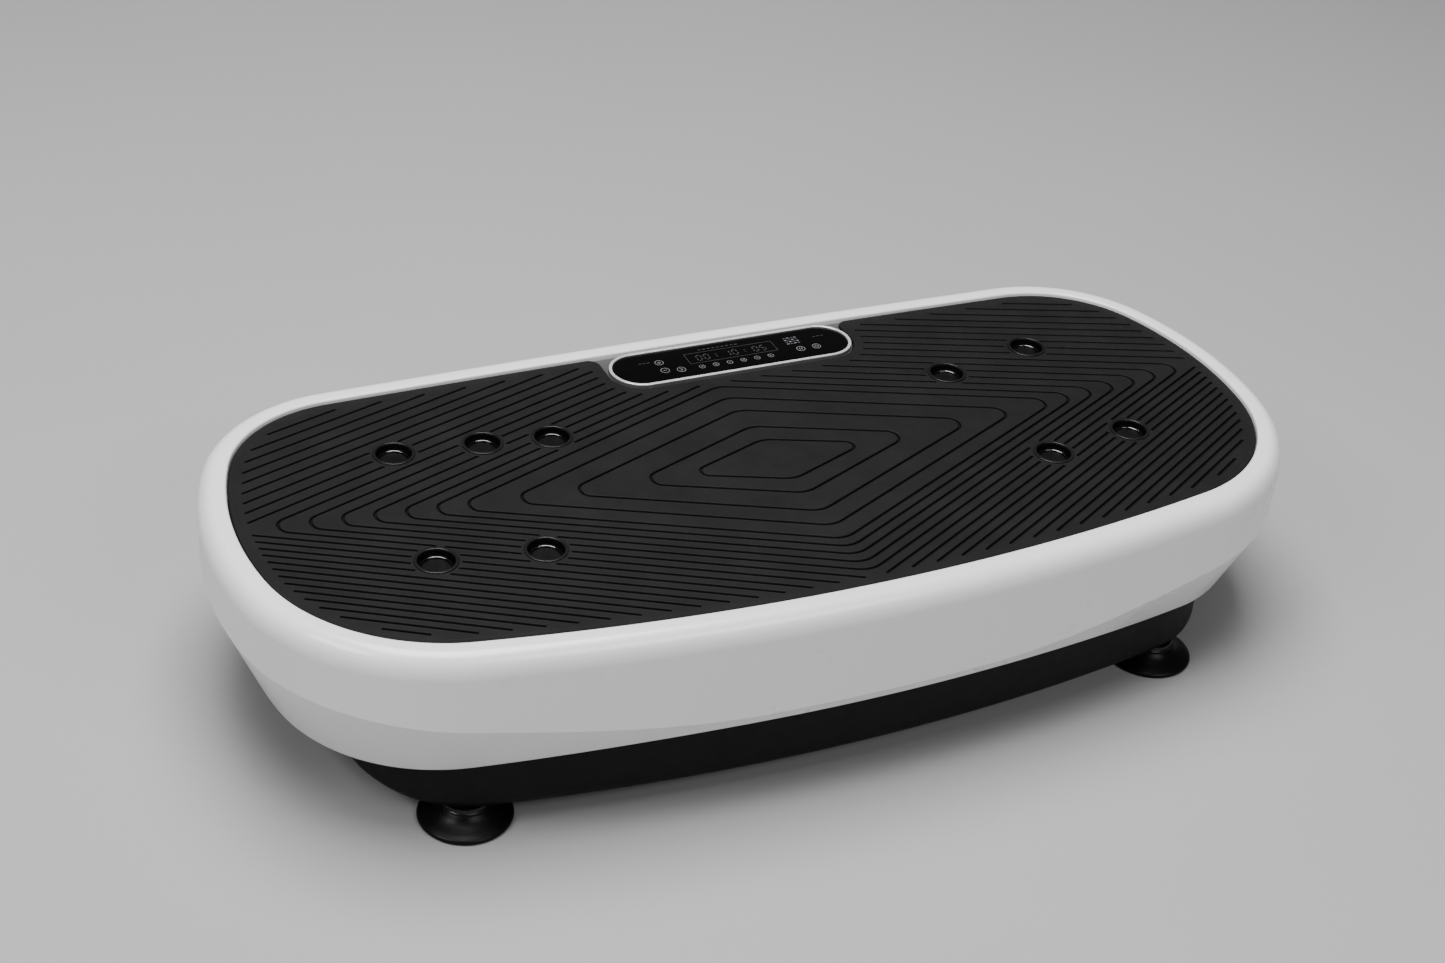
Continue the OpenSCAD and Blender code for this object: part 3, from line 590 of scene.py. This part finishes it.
TIP_R = 8.0                  # the pattern's corners, and the innermost ring's
TIP_R_INNER = 5.5
SIDE_R = 18.0
SHORTEST_GROOVE = 9.0


def pill_ring(hl, hd, steps=28):
    """Points of a pill round the panel's middle, anticlockwise from its right end."""
    right = np.array(arc((hl - hd, 0), (hd, hd), -90, 90, steps + 1))
    return np.vstack([right, -right]) + PANEL[:2]


def rear_edge(x, off):
    """Y of the mat's rear edge, off millimetres outside it."""
    centre = mat_high[1] - SIDE_R_REAR
    return centre + np.sqrt((SIDE_R_REAR + off) ** 2 - np.asarray(x, float) ** 2)


def gap_path(grow, off):
    """The mat's edge round the panel, from the rear edge on the left to the rear edge on the right.

    grow widens the gap, and off is how far outside the mat's outline the rear edge lies.
    """
    half = PANEL_HL + GAP + grow
    deep = PANEL_HD + GAP + grow
    bend = GAP_BEND - grow
    corner_x = half + bend
    corner_y = float(rear_edge(PANEL[0] + corner_x, off)) - bend - PANEL[1]
    right = np.array(arc((half - deep, 0), (deep, deep), -90, 0, END_POINTS)
                     + arc((corner_x, corner_y), (bend, bend), 180, 90, BEND_POINTS))
    left = right[::-1] * (-1, 1)
    # the left corner meets the curved rear edge a little higher or lower than the right one
    shift = float(rear_edge(PANEL[0] - corner_x, off)) - bend - PANEL[1] - corner_y
    left[:BEND_POINTS, 1] += shift
    return np.vstack([left, right]) + PANEL[:2]


def mat_outline(off, grow):
    """The mat's whole edge, the gap round the panel included, anticlockwise."""
    edge = plate.at(off)
    gap = gap_path(grow, off)
    high = (edge[:, 1] > Y_MID) & (edge[:, 0] > gap[0][0] - 0.5) & (edge[:, 0] < gap[-1][0] + 0.5)
    first = int(np.argmax(high))                      # the stations run from right to left here
    last = len(high) - 1 - int(np.argmax(high[::-1]))
    return np.vstack([edge[:first], gap[::-1], edge[last + 1:]])


def inside(points, polygon):
    """Which points lie inside a polygon."""
    x, y = points[:, 0][:, None], points[:, 1][:, None]
    x0, y0 = polygon[:, 0][None], polygon[:, 1][None]
    x1, y1 = np.roll(polygon[:, 0], -1)[None], np.roll(polygon[:, 1], -1)[None]
    crosses = (y0 > y) != (y1 > y)
    with np.errstate(divide="ignore", invalid="ignore"):
        at = x0 + (y - y0) * (x1 - x0) / (y1 - y0)
    return (np.sum(crosses & (x < at), axis=1) % 2) == 1


def groove_allowed(points):
    """Which points of the pattern may be cut: inside the border, clear of the panel and the cups."""
    ok = inside(points, plate.at(-BORDER))
    dx = np.abs(points[:, 0] - PANEL[0])
    dy = points[:, 1] - PANEL[1]
    half, deep = PANEL_HL + GAP, PANEL_HD + GAP
    ends = np.hypot(np.maximum(dx - (half - deep), 0), dy) - deep
    ok &= ends > PANEL_CLEAR
    ok &= ~((dy > 0) & (dx < half + PANEL_CLEAR + 0.5))
    for place in CUP_PLACES:
        ok &= np.hypot(points[:, 0] - place[0], points[:, 1] - place[1]) > CUP_LIP_R + CUP_CLEAR
    return ok


def filleted(corners, radii, step=8.0):
    """A closed polygon whose corners are arcs, as a list of points."""
    out = []
    n = len(corners)
    for i in range(n):
        p, before, after = (np.array(corners[j % n], float) for j in (i, i - 1, i + 1))
        u = (before - p) / np.linalg.norm(before - p)
        v = (after - p) / np.linalg.norm(after - p)
        half = math.acos(np.clip(np.dot(u, v), -1, 1)) / 2
        along = radii[i] / math.tan(half)
        mid = (u + v) / np.linalg.norm(u + v)
        centre = p + mid * radii[i] / math.sin(half)
        start, end = p + u * along - centre, p + v * along - centre
        a0 = math.atan2(start[1], start[0])
        turn = (math.atan2(end[1], end[0]) - a0 + math.pi) % (2 * math.pi) - math.pi
        count = max(3, int(abs(math.degrees(turn)) / step))
        for k in range(count + 1):
            t = a0 + turn * k / count
            out.append(centre + radii[i] * np.array([math.cos(t), math.sin(t)]))
    return np.array(out)


def ring_half_length(i):
    """Half the length of ring i, before its points reach out."""
    last = len(RING_WIDTHS) - 1
    return RING_WIDTHS[i] if i <= last else RING_WIDTHS[last] + RING_STEP * (i - last)


def place_along(loop, lengths, s):
    """Points at the distances s along a closed loop."""
    s = np.asarray(s, float) % lengths[-1]
    return np.column_stack([np.interp(s, lengths, loop[:, k]) for k in (0, 1)])


def groove_paths():
    """The centre lines of the grooves: closed rings, and the open lines that the border leaves."""
    closed, opened = [], []
    for i in range(RING_COUNT):
        w = ring_half_length(i)
        y = PATTERN_Y + PATTERN_DRIFT * (w / mat_high[0]) ** 2
        h = PATTERN_SLOPE * w
        reach = w + POINT_REACH
        corners = [(reach, y), (0, PATTERN_Y + h), (-reach, y), (0, PATTERN_Y - h)]
        tip_r = TIP_R if i else TIP_R_INNER
        ring = filleted(corners, [tip_r, SIDE_R, tip_r, SIDE_R])
        loop = np.vstack([ring, ring[:1]])
        lengths = np.concatenate([[0], np.cumsum(np.linalg.norm(np.diff(loop, axis=0), axis=1))])
        total = lengths[-1]
        samples = np.linspace(0, total, int(total / 0.5), endpoint=False)
        ok = groove_allowed(place_along(loop, lengths, samples))
        if ok.all():
            closed.append(ring)
            continue
        if not ok.any():
            continue
        start = int(np.argmin(ok))
        samples = np.roll(samples, -start)
        samples[len(samples) - start:] += total
        ok = np.roll(ok, -start)
        edges = np.flatnonzero(np.diff(np.concatenate([[0], ok.astype(int), [0]])))
        for a, b in zip(edges[::2], edges[1::2]):
            s0, s1 = samples[a], samples[b - 1]
            if s1 - s0 < SHORTEST_GROOVE:
                continue
            inner = [s for turn in (0, total) for s in lengths[:-1] + turn if s0 + 0.4 < s < s1 - 0.4]
            opened.append(place_along(loop, lengths, [s0] + inner + [s1]))
    return closed, opened


def side_normals(path, is_closed):
    """Left-hand normals of a path, lengthened at its corners so that its sides stay parallel."""
    if is_closed:
        before, after = np.roll(path, 1, axis=0), np.roll(path, -1, axis=0)
        d0, d1 = path - before, after - path
    else:
        steps = np.diff(path, axis=0)
        d0 = np.vstack([steps[:1], steps])
        d1 = np.vstack([steps, steps[-1:]])
    d0 /= np.linalg.norm(d0, axis=1)[:, None]
    d1 /= np.linalg.norm(d1, axis=1)[:, None]
    mid = d0 + d1
    mid /= np.linalg.norm(mid, axis=1)[:, None]
    scale = 1 / np.maximum(0.5, np.sum(mid * d1, axis=1))
    return np.column_stack([-mid[:, 1], mid[:, 0]]) * scale[:, None]


CAP_STEPS = 6
# Half widths and heights of a groove: a low bead, a rounded edge, a wall and a floor
GROOVE = ((1.9, 0.0), (1.65, 0.05), (1.4, 0.08), (1.2, 0.04), (1.03, -0.1), (0.92, -0.4),
          (0.86, -0.95), (0.8, -1.35), (0.6, -1.5))


def groove_loop(path, half_w):
    """The outline of an open groove, half_w from its centre line, with round ends."""
    normals = side_normals(path, False)
    left, right = path + normals * half_w, path - normals * half_w
    out = list(left)
    for end, d, side in ((path[-1], path[-1] - path[-2], 1), (path[0], path[0] - path[1], -1)):
        a = math.atan2(d[1], d[0])
        for k in range(1, CAP_STEPS):
            t = a + math.pi / 2 - math.pi * k / CAP_STEPS
            out.append(end + half_w * np.array([math.cos(t), math.sin(t)]))
        if side == 1:
            out += list(right[::-1])
    return np.array(out)


class Sheet:
    """A flat face cut by loops, whose loops then go on as rows of points at other heights."""

    def __init__(self, z):
        self.z = z
        self.loops = []

    def add(self, loop):
        self.loops.append(np.asarray(loop, float))
        return len(self.loops) - 1

    def fill(self, points, faces, seeds):
        """Adds the faces round the seed points. Returns, for each loop, its points' indices."""
        flat = np.vstack(self.loops)
        edges, start = [], 0
        for loop in self.loops:
            n = len(loop)
            edges += [(start + k, start + (k + 1) % n) for k in range(n)]
            start += n
        verts, _, tris, origin, _, _ = delaunay_2d_cdt([Vector(p) for p in flat], edges, [], 0, 1e-7)
        place = {}
        for out, sources in enumerate(origin):
            for source in sources:
                place[source] = out
        walls = {frozenset((place[a], place[b])) for a, b in edges}
        by_edge = {}
        for t, tri in enumerate(tris):
            for k in range(len(tri)):
                by_edge.setdefault(frozenset((tri[k], tri[(k + 1) % len(tri)])), []).append(t)
        coords = np.array([v[:] for v in verts])
        middles = np.array([coords[list(tri)].mean(0) for tri in tris])
        queue = [int(np.argmin(np.hypot(*(middles - seed).T))) for seed in seeds]
        seen = set(queue)
        while queue:
            tri = tris[queue.pop()]
            for k in range(len(tri)):
                edge = frozenset((tri[k], tri[(k + 1) % len(tri)]))
                if edge in walls:
                    continue
                for t in by_edge[edge]:
                    if t not in seen:
                        seen.add(t)
                        queue.append(t)
        offset = len(points)
        points.extend((v[0], v[1], self.z) for v in coords)
        faces.extend(tuple(i + offset for i in tris[t]) for t in sorted(seen))
        out, start = [], 0
        for loop in self.loops:
            out.append([offset + place[start + k] for k in range(len(loop))])
            start += len(loop)
        return out


def add_row(points, flat, z):
    """Adds a row of points at one height, and returns their indices."""
    start = len(points)
    points.extend((p[0], p[1], z) for p in flat)
    return list(range(start, len(points)))


def go_on(points, faces, last, rows):
    """Adds rows (flat points, z), each joined to the one before. Returns the last one's indices."""
    for flat, z in rows:
        row = add_row(points, flat, z)
        bridge(faces, last, row)
        last = row
    return last


def circle(place, r, steps=64):
    t = np.linspace(0, 2 * math.pi, steps, endpoint=False)
    return np.column_stack([place[0] + r * np.cos(t), place[1] + r * np.sin(t)])


def make_tread():
    """The rubber mat: a flat face with the grooves, a rounded edge, and holes for the cups."""
    points, faces = [], []
    closed, opened = groove_paths()
    top, bottom = Sheet(TREAD_Z), Sheet(MAT_Z)
    # rows of the mat's edge: a fine line, then a rounded edge
    edge_rows = ((-4.6, 0.0), (-4.35, -0.14), (-4.0, -0.2), (-3.65, -0.14), (-3.4, -0.06),
                 (-1.5, -0.12), (-0.9, -0.3), (-0.4, -0.75), (-0.1, -1.4), (0.0, -2.2))
    outer = top.add(mat_outline(edge_rows[0][0], -edge_rows[0][0]))
    outer_under = bottom.add(mat_outline(0.0, 0.0))
    hole_r = CUP_LIP_R - 0.7
    holes = [top.add(circle(p, hole_r + 0.3)) for p in CUP_PLACES]
    holes_under = [bottom.add(circle(p, hole_r)) for p in CUP_PLACES]
    slots = [top.add(groove_loop(path, GROOVE[0][0])) for path in opened]
    rings = []
    for path in closed:
        normals = side_normals(path, True)
        rings.append([top.add(path + s * normals * GROOVE[0][0]) for s in (1, -1)])
    edge_seed = plate.at(-7.0)[5]
    # every closed ring parts the face in two, so there is a seed inside each of them
    seeds = [edge_seed] + [path[np.argmin(path[:, 0])] + (GROOVE[0][0] + 1.5, 0) for path in closed]
    rows = top.fill(points, faces, seeds)
    rows_under = bottom.fill(points, faces, [edge_seed])
    last = go_on(points, faces, rows[outer],
                 [(mat_outline(off, -off), TREAD_Z + dz) for off, dz in edge_rows[1:]])
    bridge(faces, last, rows_under[outer_under])
    for place, hole, under in zip(CUP_PLACES, holes, holes_under):
        last = go_on(points, faces, rows[hole], [(circle(place, hole_r), TREAD_Z - 0.4)])
        bridge(faces, last, rows_under[under])
    for path, slot in zip(opened, slots):
        last = go_on(points, faces, rows[slot],
                     [(groove_loop(path, half_w), TREAD_Z + dz) for half_w, dz in GROOVE[1:]])
        n = len(path)
        lefts, rights = last[:n], last[n + CAP_STEPS - 1:2 * n + CAP_STEPS - 1][::-1]
        for k in range(n - 1):
            faces.append((lefts[k], lefts[k + 1], rights[k + 1], rights[k]))
        faces.append(tuple([lefts[-1]] + last[n:n + CAP_STEPS - 1] + [rights[-1]]))
        faces.append(tuple([rights[0]] + last[2 * n + CAP_STEPS - 1:] + [lefts[0]]))
    for path, (left, right) in zip(closed, rings):
        normals = side_normals(path, True)
        ends = [go_on(points, faces, rows[loop],
                      [(path + s * normals * half_w, TREAD_Z + dz) for half_w, dz in GROOVE[1:]])
                for s, loop in ((1, left), (-1, right))]
        bridge(faces, *ends)
    add_mesh("tread", points, faces, "platform", "tread_rubber", ["tread_mat"], sharp=50,
             weighted=True)


# ---- cups and magnets ----
def make_cups():
    """The massage cups, the polished rings in them, and the magnets."""
    low, high = node_box(CUPS[0])
    floor = low[2] + 1.2
    profile = [(0, low[2]), (11.9, low[2]), (12.3, low[2] + 0.4), (12.3, TREAD_Z), (13.0, TREAD_Z),
               (13.26, TREAD_Z + 0.12), (13.28, TREAD_Z + 0.5), (13.12, TREAD_Z + 0.74),
               (12.85, TREAD_Z + 0.84), (12.3, TREAD_Z + 0.88), (11.7, TREAD_Z + 0.86),
               (11.35, TREAD_Z + 0.74), (11.18, TREAD_Z + 0.45), (11.1, TREAD_Z - 0.1),
               (11.0, TREAD_Z - 1.4), (10.7, floor + 2.5), (10.5, floor + 2.1), (9.1, floor + 2.1),
               (8.95, floor + 1.9), (8.9, floor), (0, floor)]
    for cup, place in zip(CUPS, CUP_PLACES):
        add_mesh(cup.replace("magnet_", "lined_"), *revolve(profile, place), "platform",
                 "cup_black", [cup], sharp=45)
    ring = arc((9.75, floor + 2.15), (0.62, 0.65), -10, 190, 14)
    polish = finish("ring_polish", grey(0.10), grey(0.13), (0.10, 0.16), metallic=1.0,
                    bumps=((1200.0, 0.05, 0.0001),))
    parts = [tube(ring, place) for place in CUP_PLACES]
    add_mesh("cup_rings", *merge(parts), "platform", "cup_black", sharp=45, material=polish)
    disc = [(0, floor), (8.7, floor), (8.8, floor + 0.2), (8.8, floor + 1.4), (8.65, floor + 1.65),
            (8.3, floor + 1.76), (6.0, floor + 1.8), (0, floor + 1.8)]
    parts = [revolve(disc, place, 56) for place in CUP_PLACES]
    add_mesh("magnet_discs", *merge(parts), "platform", "magnet_black", ["magnets"], sharp=40)


# ---- control panel ----
def pill_rings(rows):
    """Rings of pills: rows of (inset, z) from the bezel's outer edge."""
    rings = []
    for inset, z in rows:
        flat = pill_ring(PANEL_HL - inset, PANEL_HD - inset)
        rings.append(np.column_stack([flat, np.full(len(flat), z)]))
    return rings


def make_panel():
    """The control panel: bezel, lens, marks and the plate round it."""
    z0, z1 = panel_low[2], panel_high[2]
    bezel = [(6, z0), (0.2, z0), (0, z0 + 0.2), (0, z1 - 0.7), (0.06, z1 - 0.4), (0.22, z1 - 0.16),
             (0.46, z1 - 0.04), (0.75, z1), (1.45, z1), (1.74, z1 - 0.04), (1.98, z1 - 0.16),
             (2.14, z1 - 0.4), (2.2, z1 - 0.7), (2.2, z0 + 2), (6, z0 + 2)]
    add_mesh("bezel_ring", *loft(pill_rings(bezel), closed=True), "platform", "bezel_silver",
             ["panel_bezel"], sharp=40)
    low, high = node_box("panel_lens")
    lens = [(2.4, low[2]), (2.3, low[2] + 0.1), (2.3, high[2] - 0.5), (2.55, high[2] - 0.2),
            (3.1, high[2] - 0.06), (4.4, high[2]), (12.0, high[2] + 0.05), (17.0, high[2] + 0.08)]
    add_mesh("lens", *loft(pill_rings(lens), cap_first=True, cap_last=True), "platform",
             "lens_black", ["panel_lens"], sharp=40)
    make_panel_marks(high[2] + 0.12)
    make_surround()


def make_surround():
    """The plate that fills the gap between the bezel, the mat and the rim."""
    low, high = node_box("panel_surround")
    outer = gap_path(-0.3, -0.3)
    edge_x = np.linspace(outer[-1][0], outer[0][0], 40)[1:-1]
    rear = np.column_stack([edge_x, rear_edge(edge_x, -0.3)])
    outer = np.vstack([outer, rear])
    inner = pill_ring(PANEL_HL + 0.2, PANEL_HD + 0.2)
    points, faces = [], []
    sheets = []
    for z in (low[2], high[2]):
        sheet = Sheet(z)
        ids = (sheet.add(outer), sheet.add(inner))
        rows = sheet.fill(points, faces, [PANEL[:2] - (0, PANEL_HD + 0.55)])
        sheets.append([rows[i] for i in ids])
    for a, b in zip(*sheets):
        bridge(faces, a, b)
    add_mesh("panel_fill", points, faces, "platform", "panel_grey", ["panel_surround"])


def bar(x0, y0, x1, y1, width):
    """A thin stroke from one point to another, as four corners."""
    a, b = np.array([x0, y0]), np.array([x1, y1])
    n = np.array([y0 - y1, x1 - x0]) * (width / 2 / math.hypot(x1 - x0, y1 - y0))
    return [a - n, b - n, b + n, a + n]


def ring_strokes(cx, cy, r, width, a0=0, a1=360, steps=20):
    """A thin ring, or a part of one from a0 to a1 degrees, as short strokes."""
    turns = np.radians(np.linspace(a0, a1, steps + 1))
    near, far = r - width / 2, r + width / 2
    return [[np.array([cx + reach * math.cos(t), cy + reach * math.sin(t)])
             for reach, t in ((near, t0), (far, t0), (far, t1), (near, t1))]
            for t0, t1 in zip(turns, turns[1:])]


SEGMENTS = {"0": "abcdef", "1": "bc", "5": "afgcd"}


def digit(x, y, h, which):
    """The bars of a seven-bar figure whose lower left corner is x, y."""
    w, t = h * 0.5, h * 0.1
    lines = {"a": (t, h, w - t, h), "b": (w, h - t, w, h / 2 + t), "c": (w, h / 2 - t, w, t),
             "d": (t, 0, w - t, 0), "e": (0, h / 2 - t, 0, t), "f": (0, h - t, 0, h / 2 + t),
             "g": (t, h / 2, w - t, h / 2)}
    return [bar(x + a, y + b, x + c, y + d, t) for a, b, c, d in
            (lines[s] for s in SEGMENTS[which])]


def add_marks(name, strokes, z, tone):
    """Thin flat strokes printed on the lens."""
    points, faces = [], []
    for quad in strokes:
        start = len(points)
        for height in (z, z + 0.03):
            points.extend((p[0] + PANEL[0], p[1] + PANEL[1], height) for p in quad)
        faces.append((start + 3, start + 2, start + 1, start))
        faces.append((start + 4, start + 5, start + 6, start + 7))
        faces.extend((start + k, start + (k + 1) % 4, start + 4 + (k + 1) % 4, start + 4 + k)
                     for k in range(4))
    ink = finish(name + "_ink", grey(tone * 0.9, 0.05), grey(tone, 0.05), (0.3, 0.4), bumps=())
    add_mesh(name, points, faces, "platform", "lens_black", sharp=30, material=ink)


def make_panel_marks(z):
    """Plain marks of no known maker: figures in a window, and keys with simple signs."""
    dim, lit = [], []
    for x, figures in ((-25, "00"), (-4, "10"), (17, "05")):
        for i, which in enumerate(figures):
            dim += digit(x + 5.6 * i, -0.5, 6.6, which)
    for y in (1.6, 4.2):
        dim.append(bar(-11, y, -10.2, y, 0.8))
        dim.append(bar(10.4, y, 11.2, y, 0.8))
    dim += [bar(*ends, 0.3) for ends in ((-32, -3.2, 33, -3.2), (33, -3.2, 33, 9.6),
                                         (33, 9.6, -32, 9.6), (-32, 9.6, -32, -3.2))]
    dim += [bar(-20 + 3.4 * i, 12.6, -18 + 3.4 * i, 12.6, 0.7) for i in range(9)]
    # a row of small round keys under the window
    for i, x in enumerate(np.linspace(-26, 25, 6)):
        lit += ring_strokes(x, -8.6, 2.0, 0.4, steps=16)
        lit.append(bar(x - 0.9, -8.6, x + 0.9, -8.6, 0.45))
        if i % 2:
            lit.append(bar(x, -9.5, x, -7.7, 0.45))
    # keys at the ends
    for x, y in ((-52, 4.5), (-52, -6), (-41, -8), (49, -6), (61, -6)):
        lit += ring_strokes(x, y, 2.9, 0.45)
    signs = ((-53.4, 4.5, -50.6, 4.5, 0.5), (-52, 3.1, -52, 5.9, 0.5), (-53.4, -6, -50.6, -6, 0.5),
             (-42, -9.3, -39.8, -8, 0.5), (-39.8, -8, -42, -6.7, 0.5), (48.2, -7.2, 48.2, -4.8, 0.6),
             (49.8, -7.2, 49.8, -4.8, 0.6), (61, -5.9, 61, -4.1, 0.4))
    lit += [bar(*sign) for sign in signs]
    lit += ring_strokes(61, -6.1, 1.3, 0.4, 130, 410)
    # a small field of squares, like a programme chart
    for row in range(4):
        for column in range(4):
            x, y = 42.5 + 2.7 * column, 2.2 + 2.5 * row
            lit.append(bar(x, y, x + 1.9, y, 0.35 if (row + column) % 2 else 0.9))
    dim += [bar(x, 6.5, x + 2, 6.5, 0.5) for x in (-66, -63, -60, 64, 67, 70)]
    add_marks("panel_window", dim, z, 0.045)
    add_marks("panel_keys", lit, z, 0.16)


# ---- bevelled copies of CAD nodes ----
def bevelled(node, body, slot, width):
    """A copy of a CAD node with small round edges, which stands for it."""
    source = frame["nodes"][node]
    mesh = source.data.copy()
    obj = bpy.data.objects.new("soft_" + node, mesh)
    bpy.context.scene.collection.objects.link(obj)
    work = bmesh.new()
    work.from_mesh(mesh)
    bmesh.ops.remove_doubles(work, verts=work.verts, dist=0.000002)
    bmesh.ops.dissolve_limit(work, angle_limit=math.radians(1), verts=work.verts, edges=work.edges)
    work.to_mesh(mesh)
    work.free()
    modifier = obj.modifiers.new("bevel", "BEVEL")
    modifier.width = width * MM
    modifier.segments = 2
    modifier.limit_method = "ANGLE"
    modifier.angle_limit = math.radians(40)
    modifier.use_clamp_overlap = True
    apply_modifiers(obj)
    finish_piece(obj, body, slot, [node], sharp=40)


LEAD_ROUTE = ((-31, 116, 119.8), (-31, 116, 112), (-34, 114, 102), (-44, 108, 90), (-60, 98, 78),
              (-80, 82, 70), (-100, 64, 66), (-118, 48, 66), (-130, 40, 64), (-134, 38, 60),
              (-134, 38, 56.6))
LEAD_R = 1.95


def make_lead():
    """The lead from the display to the driver board, which bends as the plate rocks: here a smooth
    tube along a fixed route, without a body.
    """
    route = np.array(LEAD_ROUTE, float)
    padded = np.vstack([2 * route[0] - route[1], route, 2 * route[-1] - route[-2]])
    curve = []
    for i in range(1, len(route)):
        p0, p1, p2, p3 = padded[i - 1:i + 3]
        for t in np.linspace(0, 1, 6, endpoint=False):
            curve.append(0.5 * (2 * p1 + (p2 - p0) * t + (2 * p0 - 5 * p1 + 4 * p2 - p3) * t ** 2
                                + (3 * p1 - p0 - 3 * p2 + p3) * t ** 3))
    curve = np.array(curve + [route[-1]])
    ways = np.gradient(curve, axis=0)
    ways /= np.linalg.norm(ways, axis=1)[:, None]
    sides = np.cross([1, -1, 0], ways)
    sides /= np.linalg.norm(sides, axis=1)[:, None]
    ups = np.cross(ways, sides)
    angles = np.linspace(0, 2 * math.pi, 20, endpoint=False)
    rings = [[p + LEAD_R * (math.cos(a) * u + math.sin(a) * v) for a in angles]
             for p, u, v in zip(curve, sides, ups)]
    lead = add_mesh("lead", *loft(rings, cap_first=True, cap_last=True), None, "lead_black",
                    ["display_lead"], sharp=60)
    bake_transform(lead)


SLEEVE_BORE_R = 5.03
SLEEVE_R = 5.75
SLEEVE_HALF = 5.5


def make_pin_sleeves():
    """Thin rubber sleeves on the rods' pins, with room in the rods' eyes for the whole travel."""
    low, high = node_box("rod_bushes")
    middle = (low + high) / 2
    half = SLEEVE_HALF
    profile = [(SLEEVE_BORE_R, -half), (SLEEVE_R - 0.15, -half), (SLEEVE_R, 0.2 - half),
               (SLEEVE_R, half - 0.2), (SLEEVE_R - 0.15, half), (SLEEVE_BORE_R, half)]
    points, faces = tube(profile, (0, 0), 64)
    parts = [([(middle[0] + x, place + z, middle[2] + y) for x, y, z in points], faces)
             for place in (low[1] + half, high[1] - half)]
    add_mesh("pin_sleeves", *merge(parts), "platform", "bush_rubber", ["rod_bushes"], sharp=40)


def soften_parts():
    """Copies with round edges of the plain parts, by body and the width of the rounding."""
    slots = {row["node"]: row["material_slot"] for row in frame["record"]["subparts"]}
    for body, width, nodes in (
            ("base", 0.4, ("power_inlet", "switch_body", "foot_bolts", "base_screws", "axle_clips")),
            ("base", 0.8, ("axle_bracket_front", "axle_bracket_rear", "crank_block_front",
                           "crank_block_rear", "motor_bracket", "motor_end_cap")),
            ("base", 0.35, ("heat_sink", "driver_board")),
            ("platform", 0.4, ("panel_tray", "rod_pins", "platform_screws")),
            ("crank", 0.5, ("crank_shaft", "driven_pulley")),
            ("rotor", 0.4, ("motor_shaft", "drive_pulley")),
            ("front_rod", 0.8, ("rod_front",)),
            ("rear_rod", 0.8, ("rod_rear",)),
            ("rocker", 0.35, ("switch_rocker",))):
        for node in nodes:
            bevelled(node, body, slots[node], width)


# ---- stage, light and camera ----
FLOOR_HALF = 8.0
LIGHT_AIM = (0, 0, 0.1)


def make_stage():
    """The plain pale floor."""
    size = FLOOR_HALF
    mesh = bpy.data.meshes.new("floor")
    mesh.from_pydata([(-size, -size, 0), (size, -size, 0), (size, size, 0), (-size, size, 0)], [],
                     [(0, 1, 2, 3)])
    floor = bpy.data.objects.new("floor", mesh)
    bpy.context.scene.collection.objects.link(floor)
    mesh.materials.append(finish("floor_pale", grey(0.325), grey(0.335), (0.75, 0.85), tone_scale=3,
                                 bumps=((300.0, 0.05, 0.0005),)))


def area_light(name, place, size, power):
    """A soft light, aimed at the plate."""
    light = bpy.data.lights.new(name, "AREA")
    light.shape = "RECTANGLE"
    light.size, light.size_y = size
    light.energy = power
    obj = bpy.data.objects.new(name, light)
    obj.location = place
    way = Vector(LIGHT_AIM) - Vector(place)
    obj.rotation_euler = way.to_track_quat("-Z", "Y").to_euler()
    bpy.context.scene.collection.objects.link(obj)


def make_lights():
    world = bpy.data.worlds.new("studio")
    world.use_nodes = True
    background = world.node_tree.nodes["Background"]
    background.inputs["Color"].default_value = (0.95, 0.97, 1.0, 1)
    background.inputs["Strength"].default_value = 0.10
    bpy.context.scene.world = world
    area_light("overhead", (-0.2, 0.1, 2.3), (1.8, 1.3), 104)
    area_light("left_fill", (-2.1, -0.5, 2.1), (1.2, 0.8), 34)
    area_light("front_fill", (0.6, -2.3, 2.0), (1.6, 0.7), 28)


def make_camera():
    yaw, pitch, roll = (math.radians(v) for v in (CAM_YAW, CAM_PITCH, CAM_ROLL))
    forward = Vector((math.sin(yaw) * math.cos(pitch), math.cos(yaw) * math.cos(pitch),
                      -math.sin(pitch)))
    right = Vector((math.cos(yaw), -math.sin(yaw), 0))
    up = right.cross(forward)
    turned_right = right * math.cos(roll) + up * math.sin(roll)
    turned_up = up * math.cos(roll) - right * math.sin(roll)
    axes = Matrix((turned_right, turned_up, -forward)).transposed()
    data = bpy.data.cameras.new("camera")
    data.sensor_width = CAM_SENSOR
    data.lens = CAM_LENS
    camera = bpy.data.objects.new("camera", data)
    camera.matrix_world = Matrix.Translation(CAM_PLACE) @ axes.to_4x4()
    bpy.context.scene.collection.objects.link(camera)
    bpy.context.scene.camera = camera


make_camera()
make_stage()
make_lights()
dress_cad_nodes()
make_shell()
make_tub()
make_feet()
make_tread()
make_cups()
make_panel()
make_lead()
make_pin_sleeves()
soften_parts()
